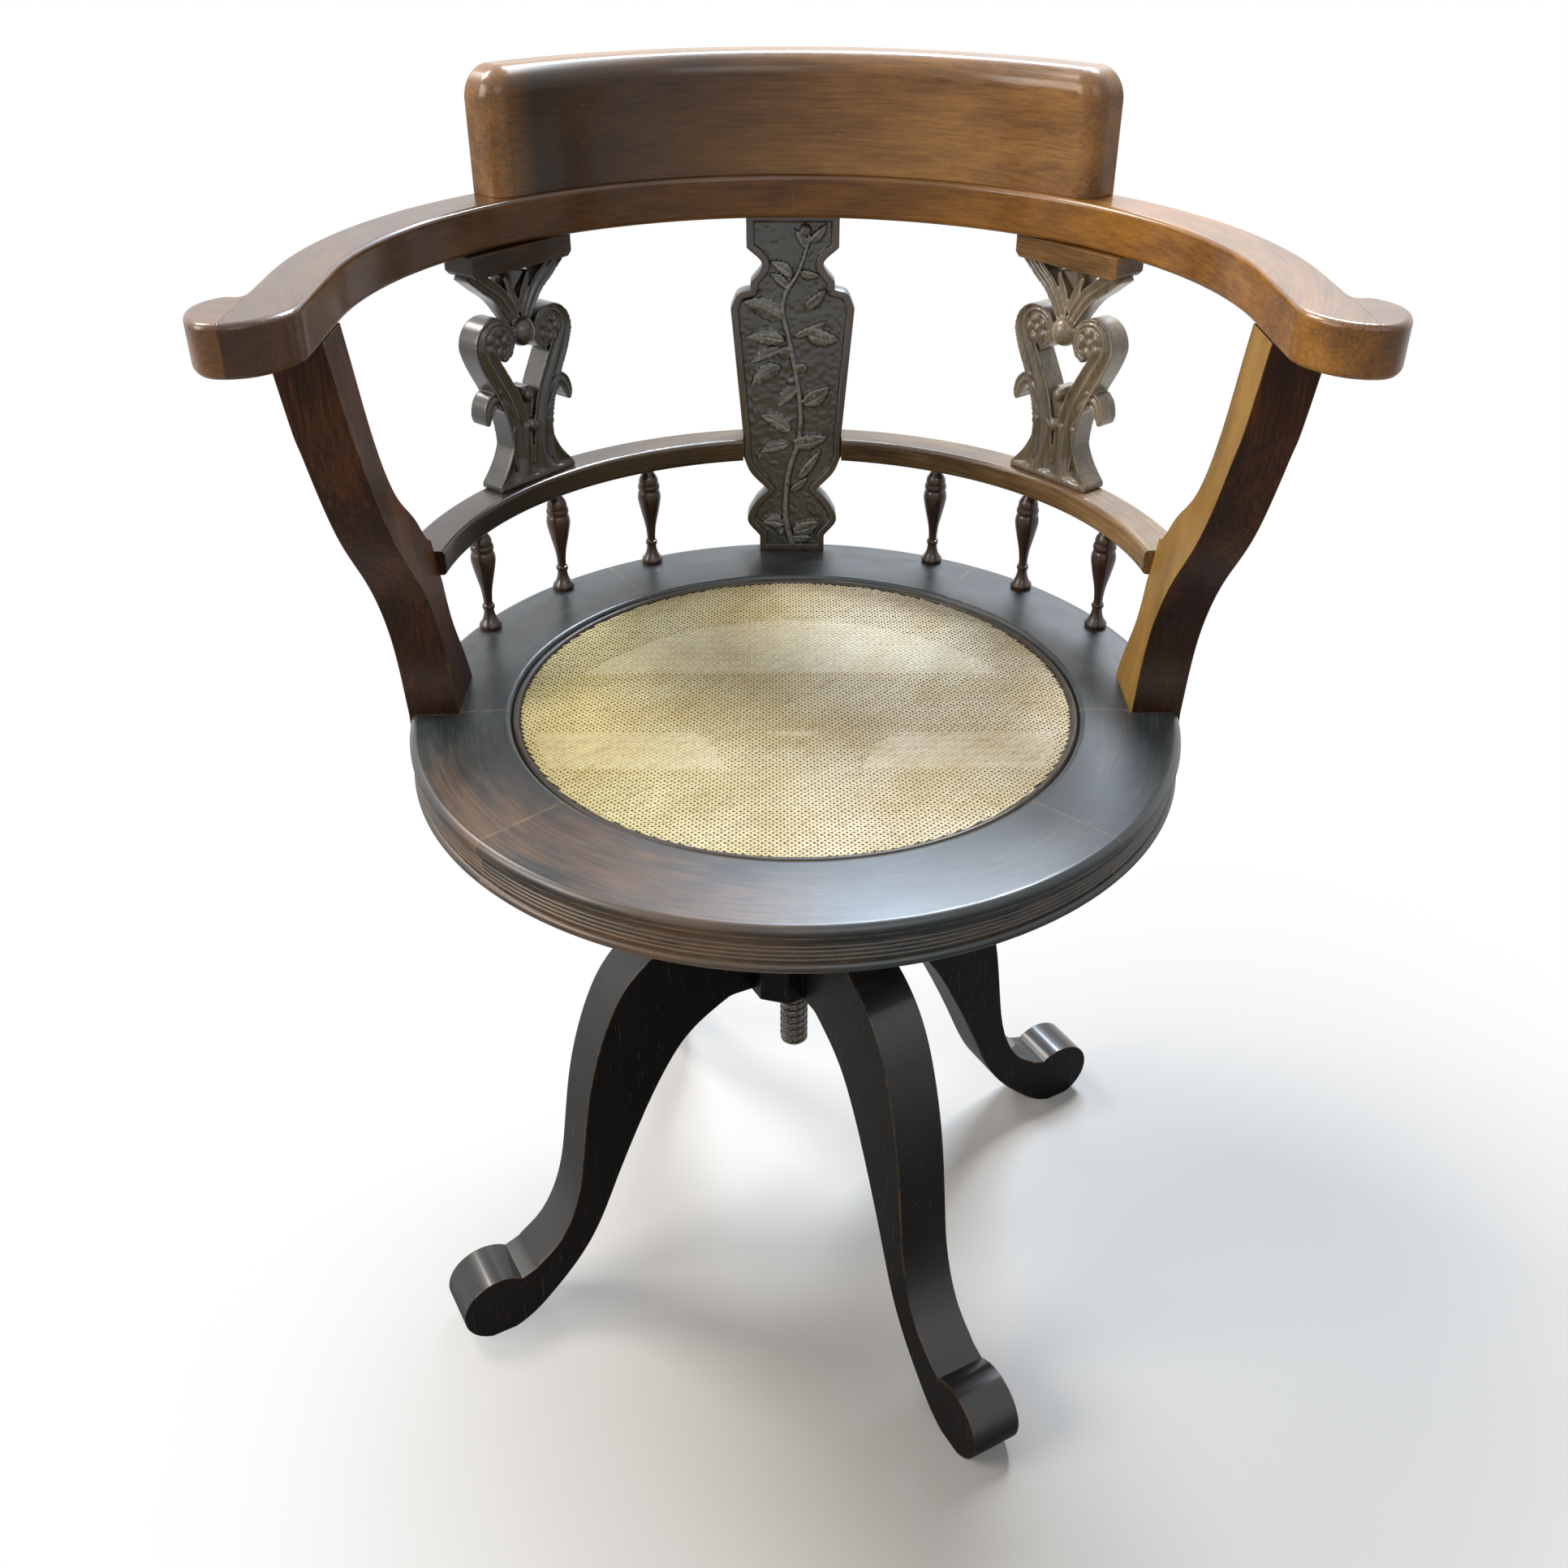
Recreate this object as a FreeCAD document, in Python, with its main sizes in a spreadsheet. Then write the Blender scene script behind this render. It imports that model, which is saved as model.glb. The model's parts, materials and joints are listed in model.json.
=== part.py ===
import FreeCAD, Part
import math
import os

# Bankers swivel chair: a round caned seat on four scroll-footed legs, with one long arm rail bent
# round the sitter, a crest rail on top of it and carved splats below.  Millimetres, +Z up.  The
# origin is on the floor under the swivel screw, and the sitter faces -Y.

V = FreeCAD.Vector
Z_AXIS = V(0, 0, 1)
doc = FreeCAD.newDocument("swivel_chair")

# Driving dimensions

SIZES = {
    # seat ring, outside radius and heights above the floor
    "seat_radius": 240,
    "seat_top_height": 447,
    "seat_thickness": 30,
    "seat_edge_rounding": 5,
    "seat_edge_flat": 1.5,
    "seat_cove_radius": 3.5,
    "seat_reed_height": 2.8,
    "seat_reed_swell": 1.1,
    "seat_bead_height": 6,
    "front_joint_angle": 47.5,
    "back_joint_angle": 35,
    # cane, its ledge and the spline groove
    "seat_ring_width": 62,
    "cane_ledge_width": 7,
    "cane_thickness": 1.6,
    "cane_recess": 4,
    "cane_sag": 3,
    "cane_clearance": 0.1,
    "lip_radius": 4,
    "spline_width": 5,
    "spline_groove_depth": 8,
    "spline_crown": 2.4,
    # arm posts
    "post_thickness": 31,
    "post_front_setback": 22.6,
    "post_foot_depth": 50,
    "post_waist_depth": 34,
    "post_block_depth": 46,
    "post_neck_depth": 32,
    "post_top_depth": 36,
    "post_top_front": 66,
    "notch_clearance": 0.1,
    # arm rail
    "arm_height_over_seat": 271,
    "arm_thickness": 27,
    "arm_overhang": 2,
    "arm_width": 34,
    "arm_bow_centre": 32,
    "arm_front_reach": 128.5,
    "arm_nose_curve": 37,
    "arm_edge_rounding": 3.5,
    "arm_over_post": 2,
    "pad_projection": 20.5,
    "pad_run": 51,
    "pad_blend": 9,
    "pad_glue_inset": 2,
    # crest rail
    "crest_height": 73,
    "crest_front_setback": 4,
    "crest_thickness": 28,
    "crest_half_angle": 47,
    "crest_front_rounding": 14,
    "crest_corner_radius": 19,
    "crest_back_rounding": 3,
    # middle rail and the six spindles
    "spindle_inset": 11,
    "spindle_first_angle": 25,
    "spindle_step_angle": 19,
    "spindle_height": 74,
    "spindle_belly_radius": 8.3,
    "spindle_foot_radius": 7.7,
    "spindle_neck_radius": 2.8,
    "tenon_radius": 3,
    "tenon_length": 9,
    "tenon_clearance": 0.05,
    "middle_rail_width": 26,
    "middle_rail_thickness": 16,
    "middle_rail_rounding": 3,
    # centre splat
    "splat_front_inset": 17,
    "splat_thickness": 14,
    "splat_foot_half_width": 24,
    "splat_lobe_half_width": 33,
    "splat_waist_half_width": 18,
    "splat_hip_half_width": 35.5,
    "splat_shoulder_half_width": 43,
    "splat_step_half_width": 29,
    "splat_neck_half_width": 21,
    "splat_head_half_width": 31.5,
    "splat_border": 7,
    "splat_sinking": 3,
    # side splats and the cap blocks over them
    "side_splat_angle": 39,
    "side_splat_inset": 9,
    "side_splat_thickness": 18,
    "side_foot_half_width": 34,
    "side_waist_half_width": 16.5,
    "side_heart_half_width": 37,
    "side_ball_radius": 8.5,
    "cap_block_height": 14,
    "cap_block_half_length": 42,
    "cap_block_depth": 26,
    "cap_block_chamfer": 3,
    # base
    "hub_half_width": 42,
    "hub_drop_below_seat": 143,
    "hub_height": 70,
    "hub_corner_chamfer": 14,
    "leg_angle": 28.5,
    "leg_thickness": 35,
    "leg_root_height": 64,
    "leg_root_drop": 4,
    "leg_knee_reach": 130,
    "leg_shin_reach": 174,
    "foot_roll_distance": 246,
    "foot_roll_radius": 27,
    "foot_wear": 1.5,
    # swivel screw, its bush in the hub and the iron under the seat
    "screw_radius": 10,
    "screw_root_depth": 1.8,
    "screw_pitch": 6,
    "screw_below_hub": 76,
    "screw_clearance": 0.06,
    "screw_flange_radius": 40,
    "screw_flange_thickness": 6,
    "bush_outer_radius": 17,
    "bush_clearance": 0.05,
    "bush_length": 64,
    "iron_gap": 0.3,
    "iron_boss_bottom_radius": 24,
    "iron_boss_top_radius": 34,
    "iron_plate_thickness": 6,
    "iron_arm_width": 30,
    "iron_arm_reach": 112,
    "iron_arm_angle": 45,
    "top_nut_radius": 18,
    "top_nut_height": 11,
    # battens under the seat
    "batten_thickness": 20,
    "batten_width": 46,
    "batten_offset": 62,
    "batten_end_inset": 38,
    "batten_screw_inset": 40,
    # dowels and wood screws
    "dowel_radius": 4,
    "dowel_length": 40,
    "dowel_clearance": 0.05,
    "leg_dowel_radius": 5,
    "leg_dowel_in_hub": 20,
    "leg_dowel_in_leg": 25,
    "ring_dowel_inset": 13,
    "ring_dowel_spacing": 13,
    "wood_screw_radius": 2.5,
    "wood_screw_head_radius": 4.6,
    "wood_screw_head_height": 2.6,
    "wood_screw_clearance": 0.05,
}
REED_COUNT = 4

sheet = doc.addObject("Spreadsheet::Sheet", "Sizes")
for row, (alias, number) in enumerate(SIZES.items(), start=1):
    sheet.set("A%d" % row, alias)
    sheet.set("B%d" % row, str(number))
    sheet.setAlias("B%d" % row, alias)
doc.recompute()


def size(alias):
    """Reads one driving dimension from the sheet."""
    return float(sheet.get(alias))


class Named:
    """The driving dimensions and the places worked out from them."""


n = Named()
for alias in SIZES:
    setattr(n, alias, size(alias))

n.seat_bottom = n.seat_top_height - n.seat_thickness
n.cane_opening_radius = n.seat_radius - n.seat_ring_width
n.arm_top_height = n.seat_top_height + n.arm_height_over_seat
n.arm_inner_radius = n.seat_radius + n.arm_overhang
n.spindle_circle_radius = n.seat_radius - n.spindle_inset
n.splat_front_distance = n.seat_radius - n.splat_front_inset
n.side_splat_centre_radius = n.seat_radius - n.side_splat_inset
n.batten_half_length = n.seat_radius - n.batten_end_inset
n.batten_screw_radius = n.seat_radius - n.batten_screw_inset
n.hub_top_height = n.seat_top_height - n.hub_drop_below_seat
n.cane_level = n.seat_top_height - n.cane_recess
n.groove_inner_radius = n.cane_opening_radius - n.spline_width
n.ring_inner_radius = n.groove_inner_radius - n.cane_ledge_width
n.arm_bottom = n.arm_top_height - n.arm_thickness
n.arm_outer_radius = n.arm_inner_radius + n.arm_width
n.arm_mid_radius = n.arm_inner_radius + n.arm_width / 2
n.middle_rail_bottom = n.seat_top_height + n.spindle_height
n.middle_rail_top = n.middle_rail_bottom + n.middle_rail_thickness
n.middle_rail_inner = n.spindle_circle_radius - n.middle_rail_width / 2
n.middle_rail_outer = n.spindle_circle_radius + n.middle_rail_width / 2
n.post_inner_foot = n.seat_radius - n.post_thickness
n.post_outer_top = n.arm_outer_radius - n.arm_over_post
n.post_inner_top = n.post_outer_top - n.post_thickness
n.post_back = n.post_foot_depth - n.post_front_setback
n.post_shoulder_back = n.post_back - 6.5
n.side_joint_angle = math.degrees(math.asin(n.post_front_setback / n.seat_radius))
n.hub_bottom = n.hub_top_height - n.hub_height
n.flange_top = n.hub_top_height + n.screw_flange_thickness
n.batten_bottom = n.seat_bottom - n.batten_thickness
n.iron_plate_bottom = n.batten_bottom - n.iron_plate_thickness
n.iron_bottom = n.flange_top + n.iron_gap
n.screw_bottom = n.hub_bottom - n.screw_below_hub
n.foot_roll_height = n.foot_roll_radius - n.foot_wear

pieces = []


def keep(obj, label):
    """Gives a finished sub-part the label that names its file."""
    obj.Label = label
    pieces.append(obj)
    return obj


def plane_of(body, role):
    """Finds one of a body's own origin planes."""
    for feature in body.Origin.OriginFeatures:
        if feature.Role == role:
            return feature
    raise ValueError(role)


def new_body(name):
    """Starts an empty body."""
    return doc.addObject("PartDesign::Body", name)


def line(a, b):
    """One straight edge of an outline, in sketch coordinates."""
    return Part.LineSegment(V(a[0], a[1], 0), V(b[0], b[1], 0))


def arc(a, middle, b):
    """One round edge of an outline through three points."""
    return Part.Arc(V(a[0], a[1], 0), V(middle[0], middle[1], 0), V(b[0], b[1], 0))


def curve(points, first=None, last=None):
    """One free curve through the points, with its end directions where they matter."""
    spline = Part.BSplineCurve()
    vectors = [V(p[0], p[1], 0) for p in points]
    if first:
        spline.interpolate(Points=vectors, InitialTangent=V(*first, 0), FinalTangent=V(*last, 0))
    else:
        spline.interpolate(Points=vectors)
    return spline


def polyline(points):
    """Straight edges from point to point."""
    return [line(a, b) for a, b in zip(points, points[1:])]


def on_circle(radius, degrees, centre=(0.0, 0.0)):
    """A point of a circle in the plan."""
    turn = math.radians(degrees)
    return (centre[0] + radius * math.cos(turn), centre[1] + radius * math.sin(turn))


def circle_arc(radius, start, end, centre=(0.0, 0.0)):
    """The stretch of a circle from one angle to another."""
    middle = (start + end) / 2
    return arc(on_circle(radius, start, centre), on_circle(radius, middle, centre),
               on_circle(radius, end, centre))


def sketch(body, name, role, edges, lift=0.0):
    """Draws an outline on one of the body's origin planes, moved along its normal by lift."""
    drawing = body.newObject("Sketcher::SketchObject", name)
    drawing.AttachmentSupport = [(plane_of(body, role), "")]
    drawing.MapMode = "FlatFace"
    drawing.AttachmentOffset = FreeCAD.Placement(V(0, 0, lift), FreeCAD.Rotation())
    drawing.addGeometry(edges, False)
    return drawing


def pad(body, drawing, name, length, both_ways=False):
    """Extrudes an outline by a length that is read from the sheet."""
    feature = body.newObject("PartDesign::Pad", name)
    feature.Profile = drawing
    feature.setExpression("Length", length)
    feature.Midplane = both_ways
    drawing.Visibility = False
    return feature


def revolve(body, drawing, name, angle=None):
    """Turns a section about Z, all round or by an angle shared between both sides."""
    feature = body.newObject("PartDesign::Revolution", name)
    feature.Profile = drawing
    feature.ReferenceAxis = (drawing, ["V_Axis"])
    if angle is None:
        feature.Angle = 360
    else:
        feature.Angle = angle
        feature.Midplane = True
    return feature


def turned(body, degrees):
    """Turns a body about the swivel axis."""
    body.Placement = FreeCAD.Placement(V(0, 0, 0), FreeCAD.Rotation(Z_AXIS, degrees))


def rod(name, radius, length, start, direction):
    """A plain cylinder from a start point along a direction, sized by the sheet."""
    item = doc.addObject("Part::Cylinder", name)
    item.setExpression("Radius", radius)
    item.setExpression("Height", length)
    item.Placement = FreeCAD.Placement(V(*start), FreeCAD.Rotation(Z_AXIS, V(*direction)))
    return item


def wood_screw(name, length, start, direction):
    """A countersunk wood screw whose head is flush at its start point."""
    shank = rod(name + "_shank", "Sizes.wood_screw_radius", length, start, direction)
    head = doc.addObject("Part::Cone", name + "_head")
    head.setExpression("Radius1", "Sizes.wood_screw_head_radius")
    head.setExpression("Radius2", "Sizes.wood_screw_radius")
    head.setExpression("Height", "Sizes.wood_screw_head_height")
    head.Placement = shank.Placement
    both = doc.addObject("Part::Fuse", name)
    both.Base = shank
    both.Tool = head
    return both


def screw_hole(name, length, start, direction):
    """The countersunk hole for a wood screw."""
    wall = " + Sizes.wood_screw_clearance"
    shank = rod(name + "_drill", "Sizes.wood_screw_radius" + wall, length, start, direction)
    sink = doc.addObject("Part::Cone", name + "_sink")
    sink.setExpression("Radius1", "Sizes.wood_screw_head_radius" + wall)
    sink.setExpression("Radius2", "Sizes.wood_screw_radius" + wall)
    sink.setExpression("Height", "Sizes.wood_screw_head_height")
    sink.Placement = shank.Placement
    both = doc.addObject("Part::Fuse", name)
    both.Base = shank
    both.Tool = sink
    return both


def cut(name, base, tools):
    """Takes the tools away from a piece."""
    result = doc.addObject("Part::Cut", name)
    result.Base = base
    if len(tools) == 1:
        result.Tool = tools[0]
    else:
        gathered = doc.addObject("Part::Compound", name + "_tools")
        gathered.Links = tools
        result.Tool = gathered
    return result


def group(label, items):
    """Keeps several loose solids of one kind in one file."""
    gathered = doc.addObject("Part::Compound", label)
    gathered.Links = items
    return keep(gathered, label)


def mirrored(obj, label):
    """The left-hand twin of a right-hand piece."""
    twin = doc.addObject("Part::Mirroring", label)
    twin.Source = obj
    twin.Base = V(0, 0, 0)
    twin.Normal = V(1, 0, 0)
    return keep(twin, label)


def pair(obj, stem):
    """Keeps a right-hand piece and its left-hand twin."""
    keep(obj, stem + "_right")
    mirrored(obj, stem + "_left")


# Seat ring: six segments of one moulded section, dowelled end to end


def seat_section():
    """The ring's section: radius across, height up."""
    outer = n.seat_radius
    reed_line = outer - n.seat_cove_radius
    bead_mid = n.seat_bottom + n.seat_bead_height / 2
    bead_top = n.seat_bottom + n.seat_bead_height
    edges = [arc((reed_line, n.seat_bottom), (outer, bead_mid), (reed_line, bead_top))]
    level = bead_top
    for _ in range(REED_COUNT):
        upper = level + n.seat_reed_height
        swell = (reed_line + n.seat_reed_swell, (level + upper) / 2)
        edges.append(arc((reed_line, level), swell, (reed_line, upper)))
        level = upper
    edge_bottom = n.seat_top_height - n.seat_edge_rounding - n.seat_edge_flat
    cove_bottom = edge_bottom - n.seat_cove_radius
    edges.append(line((reed_line, level), (reed_line, cove_bottom)))
    cove_mid = on_circle(n.seat_cove_radius, 135, (outer, cove_bottom))
    edges.append(arc((reed_line, cove_bottom), cove_mid, (outer, edge_bottom)))
    round_bottom = edge_bottom + n.seat_edge_flat
    edges.append(line((outer, edge_bottom), (outer, round_bottom)))
    round_centre = (outer - n.seat_edge_rounding, round_bottom)
    edges.append(circle_arc(n.seat_edge_rounding, 0, 90, round_centre))
    lip_centre = (n.cane_opening_radius + n.lip_radius, n.seat_top_height - n.lip_radius)
    edges.append(line((round_centre[0], n.seat_top_height), (lip_centre[0], n.seat_top_height)))
    edges.append(circle_arc(n.lip_radius, 90, 180, lip_centre))
    groove_bottom = n.cane_level - n.spline_groove_depth
    edges += polyline([(n.cane_opening_radius, lip_centre[1]),
                       (n.cane_opening_radius, groove_bottom),
                       (n.groove_inner_radius, groove_bottom),
                       (n.groove_inner_radius, n.cane_level),
                       (n.ring_inner_radius, n.cane_level),
                       (n.ring_inner_radius, n.seat_bottom),
                       (reed_line, n.seat_bottom)])
    return edges


def seat_segment(name, start, end):
    """One segment of the ring between two joint angles."""
    body = new_body(name + "_ring")
    drawing = sketch(body, name + "_section", "XZ_Plane", seat_section())
    revolve(body, drawing, name + "_turn", end - start)
    turned(body, (start + end) / 2)
    return body


def ring_dowels(name, angle, radius, length):
    """Two dowels across a joint of the ring."""
    made = []
    direction = (-math.sin(math.radians(angle)), math.cos(math.radians(angle)), 0)
    for index in range(2):
        reach = n.cane_opening_radius + n.ring_dowel_inset + index * n.ring_dowel_spacing
        middle = on_circle(reach, angle)
        half = n.dowel_length / 2
        start = (middle[0] - half * direction[0], middle[1] - half * direction[1],
                 n.seat_bottom + n.seat_thickness * 0.4)
        made.append(rod("%s_%d" % (name, index), radius, length, start, direction))
    return made


def spindle_angles():
    """The angles of the right-hand spindles round the seat."""
    return [n.spindle_first_angle + i * n.spindle_step_angle for i in range(3)]


def spindle_holes(name, level, angles):
    """The round mortises for the spindles' tenons, upwards from a level."""
    tools = []
    for index, angle in enumerate(angles):
        place = on_circle(n.spindle_circle_radius, angle)
        tools.append(rod("%s_%d" % (name, index), "Sizes.tenon_radius + Sizes.tenon_clearance",
                         "Sizes.tenon_length + Sizes.tenon_clearance", (*place, level), (0, 0, 1)))
    return tools


front_start = 270 - n.front_joint_angle
front_end = 270 + n.front_joint_angle
side_left = 180 + n.side_joint_angle
side_right = 360 - n.side_joint_angle
back_start = 90 - n.back_joint_angle
back_end = 90 + n.back_joint_angle
JOINTS = [front_start, front_end, side_left, side_right, back_start, back_end]
SEGMENTS = {
    "seat_rail_front": (front_start, front_end),
    "seat_rail_front_left": (side_left, front_start),
    "seat_rail_front_right": (front_end, side_right),
    "seat_rail_back_left": (back_end, side_left),
    "seat_rail_back_right": (side_right - 360, back_start),
    "seat_rail_back": (back_start, back_end),
}

hole_radius = "Sizes.dowel_radius + Sizes.dowel_clearance"
hole_length = "Sizes.dowel_length + 2 * Sizes.dowel_clearance"


def notch(name, side):
    """The housing that an arm post's foot fills in the edge of the seat."""
    gap = n.notch_clearance
    box = doc.addObject("Part::Box", name)
    box.setExpression("Length", "Sizes.post_thickness + 2 * Sizes.notch_clearance")
    box.setExpression("Width", "Sizes.post_foot_depth + 2 * Sizes.notch_clearance")
    box.setExpression("Height", "Sizes.seat_thickness + 2 * Sizes.seat_edge_flat")
    inner = n.post_inner_foot - gap
    left = inner if side > 0 else -inner - n.post_thickness - 2 * gap
    box.Placement.Base = V(left, -n.post_front_setback - gap, n.seat_bottom - n.seat_edge_flat)
    return box


post_screw_length = n.post_thickness + 18
POST_SCREW_PLACES = (-8.0, 14.0)


def post_screw_axes(side):
    """Where the screws go in through a post's foot, and which way."""
    level = n.seat_bottom + n.seat_thickness * 0.76
    return [((side * n.seat_radius, y, level), (-side, 0, 0)) for y in POST_SCREW_PLACES]


batten_screw_run = n.batten_thickness + 14


def batten_screw_axes():
    """Where the battens are screwed up into the ring."""
    across = math.sqrt(n.batten_screw_radius ** 2 - n.batten_offset ** 2)
    return [((sx * across, sy * n.batten_offset, n.batten_bottom), (0, 0, 1))
            for sx in (1, -1) for sy in (1, -1)]


def build_seat_ring():
    """The six ring segments with every hole that their neighbours need."""
    right = spindle_angles()
    left = [180 - a for a in right]
    for label, (start, end) in SEGMENTS.items():
        body = seat_segment(label, start, end)
        tools = []
        for joint in JOINTS:
            if min(abs(joint - start) % 360, abs(joint - end) % 360) < 0.01:
                tools += ring_dowels(label + "_bore_%d" % joint, joint, hole_radius, hole_length)
        level = n.seat_top_height - n.tenon_length
        held = [a for a in right + left if start < a < end]
        tools += spindle_holes(label + "_mortise", level, held)
        if label not in ("seat_rail_front", "seat_rail_back"):
            side = 1 if label.endswith("right") else -1
            tools.append(notch(label + "_notch", side))
            for i, (place, way) in enumerate(post_screw_axes(side)):
                tools.append(screw_hole("%s_post_drill_%d" % (label, i),
                                        "%.3f" % post_screw_length, place, way))
            for i, (place, way) in enumerate(batten_screw_axes()):
                if place[0] * side > 0:
                    tools.append(screw_hole("%s_batten_drill_%d" % (label, i),
                                            "%.3f" % batten_screw_run, place, way))
        keep(cut(label + "_cut", body, tools), label)
    dowels = []
    for index, joint in enumerate(JOINTS):
        dowels += ring_dowels("seat_dowel_%d" % index, joint, "Sizes.dowel_radius",
                              "Sizes.dowel_length")
    group("seat_joint_dowels", dowels)


# Cane panel and the spline that holds it in its groove


def build_cane():
    """The sagging cane sheet on its ledge, and the spline round it."""
    edge = n.groove_inner_radius - n.cane_clearance
    inner = n.ring_inner_radius
    low = n.cane_level
    high = n.cane_level + n.cane_thickness
    body = new_body("cane_sheet")
    drawing = sketch(body, "cane_section", "XZ_Plane", [
        curve([(0, low - n.cane_sag), (inner / 2, low - n.cane_sag * 0.75), (inner, low)],
              (1, 0), (1, 0)),
        line((inner, low), (edge, low)),
        line((edge, low), (edge, high)),
        line((edge, high), (inner, high)),
        curve([(inner, high), (inner / 2, high - n.cane_sag * 0.75), (0, high - n.cane_sag)],
              (-1, 0), (-1, 0)),
        line((0, high - n.cane_sag), (0, low - n.cane_sag)),
    ])
    revolve(body, drawing, "cane_turn")
    keep(body, "cane_panel")
    gap = n.cane_clearance
    a = n.groove_inner_radius + gap
    b = n.cane_opening_radius - gap
    foot = n.cane_level - n.spline_groove_depth + gap
    rise = n.cane_level + gap
    ring = new_body("spline_ring")
    drawing = sketch(ring, "spline_section", "XZ_Plane", [
        line((a, foot), (b, foot)),
        line((b, foot), (b, rise)),
        arc((b, rise), ((a + b) / 2, rise + n.spline_crown), (a, rise)),
        line((a, rise), (a, foot)),
    ])
    revolve(ring, drawing, "spline_turn")
    keep(ring, "cane_spline")


# Arm posts: a leaning board, sawn to a shaped side profile


def extrusion(name, edges, plane, start, length):
    """Extrudes a world-plane outline: plane is the pair of axes that it is drawn in."""
    drawing = doc.addObject("Sketcher::SketchObject", name + "_outline")
    drawing.addGeometry(edges, False)
    if plane == "YZ":
        drawing.Placement = FreeCAD.Placement(V(start, 0, 0), FreeCAD.Rotation(V(0, 1, 0), V(0, 0, 1), V(1, 0, 0), "ZXY"))
        direction = V(1, 0, 0)
    elif plane == "XZ":
        drawing.Placement = FreeCAD.Placement(V(0, start, 0), FreeCAD.Rotation(V(1, 0, 0), V(0, 0, 1), V(0, -1, 0), "ZXY"))
        direction = V(0, 1, 0)
    else:
        drawing.Placement = FreeCAD.Placement(V(0, 0, start), FreeCAD.Rotation())
        direction = V(0, 0, 1)
    solid = doc.addObject("Part::Extrusion", name)
    solid.Base = drawing
    solid.DirMode = "Custom"
    solid.Dir = direction
    solid.LengthFwd = length
    solid.Solid = True
    return solid


def common(name, items):
    """What all the items share."""
    result = doc.addObject("Part::MultiCommon", name)
    result.Shapes = items
    return result


def post_side_outline():
    """The post seen from the side: distance back across, height up."""
    base = n.seat_bottom
    seat = n.seat_top_height
    front = -n.post_front_setback
    top = n.arm_bottom
    top_front = -n.post_top_front
    top_back = top_front + n.post_top_depth
    waist = seat + 50
    waist_front = front + 9
    rail_low = n.middle_rail_bottom - 6
    rail_high = n.middle_rail_top + 8
    block_back = n.post_shoulder_back
    neck = rail_high + (top - rail_high) * 0.56
    neck_front = top_front + 3
    neck_back = neck_front + n.post_neck_depth
    front_edge = curve([(front, seat), (waist_front, waist), (waist_front - 10, rail_low + 19),
                        (neck_front + 14, rail_high + 32), (neck_front, neck + 4),
                        (top_front, top)], (0.25, 1), (0, 1))
    back_edge = curve([(block_back, rail_high), (block_back - 16, rail_high + 17),
                       (neck_back + 11, rail_high + 44), (neck_back, neck),
                       (top_back, top)], (-1, 0.25), (0, 1))
    foot_back = curve([(n.post_back, seat), (block_back - 2, seat + 44), (block_back, rail_low)],
                      (0, 1), (0.2, 1))
    return [line((front, base), (front, seat)), front_edge,
            line((top_front, top), (top_back, top)), back_edge,
            line((block_back, rail_high), (block_back, rail_low)), foot_back,
            line((n.post_back, seat), (n.post_back, base)),
            line((n.post_back, base), (front, base))]


def build_posts():
    """The two arm posts with their screws and the dowel at each top."""
    base = n.seat_bottom
    seat = n.seat_top_height
    top = n.arm_bottom
    front_view = polyline([(n.post_inner_foot, base), (n.seat_radius, base),
                           (n.seat_radius, seat), (n.post_outer_top, top),
                           (n.post_inner_top, top), (n.post_inner_foot, seat),
                           (n.post_inner_foot, base)])
    depth = n.post_top_front + n.post_foot_depth
    board = extrusion("post_board", front_view, "XZ", -n.post_top_front - 10, depth + 20)
    width = n.post_outer_top - n.post_inner_foot
    side = extrusion("post_side", post_side_outline(), "YZ", n.post_inner_foot - 10, width + 20)
    shaped = common("post_shaped", [board, side])
    tools = []
    screws = []
    for i, (place, way) in enumerate(post_screw_axes(1)):
        tools.append(screw_hole("post_drill_%d" % i, "%.3f" % post_screw_length, place, way))
    for side_sign in (1, -1):
        for i, (place, way) in enumerate(post_screw_axes(side_sign)):
            name = "post_screw_%d_%d" % (i, side_sign + 1)
            screws.append(wood_screw(name, "%.3f" % (post_screw_length - 1), place, way))
    tools += post_top_dowel("post_dowel_bore", hole_radius, hole_length, 1)
    pair(cut("post_cut", shaped, tools), "arm_post")
    group("post_screws", screws)
    group("post_top_dowels", post_top_dowel("post_dowel_right", "Sizes.dowel_radius",
                                            "Sizes.dowel_length", 1)
          + post_top_dowel("post_dowel_left", "Sizes.dowel_radius", "Sizes.dowel_length", -1))


def post_top_dowel(name, radius, length, side):
    """The dowel between a post's top and the arm rail above it."""
    across = side * (n.post_outer_top + n.post_inner_top) / 2
    along = -n.post_top_front + n.post_top_depth / 2
    low = n.arm_bottom - n.dowel_length / 2
    return [rod(name, radius, length, (across, along, low), (0, 0, 1))]


# Arm rail: two bent halves that meet behind the sitter, with a scrolled pad glued to each front end


def arm_outline():
    """The right-hand half in plan, with the pad that is glued outside its front end."""
    centre = (0.0, -n.arm_bow_centre)
    inner = n.arm_inner_radius
    outer = n.arm_outer_radius
    front = -n.arm_front_reach
    nose_start = (inner, front + n.arm_nose_curve)
    nose_end = (outer, front)
    tip = outer + n.pad_projection
    back = front + n.pad_run
    pad_end = (outer, back + n.pad_blend)
    return [
        circle_arc(inner, 90, 0, centre),
        line((inner, centre[1]), nose_start),
        curve([nose_start, (inner + 9.5, front + 12), nose_end], (0, -1), (1, 0)),
        curve([nose_end, (outer + 14, front + 8), (tip, front + 24), (tip - 4, back - 8),
               (outer + 6, back), pad_end], (1, 0), (0, 1)),
        line(pad_end, (outer, centre[1])),
        circle_arc(outer, 0, 90, centre),
        line((0, centre[1] + outer), (0, centre[1] + inner)),
    ]


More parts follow.
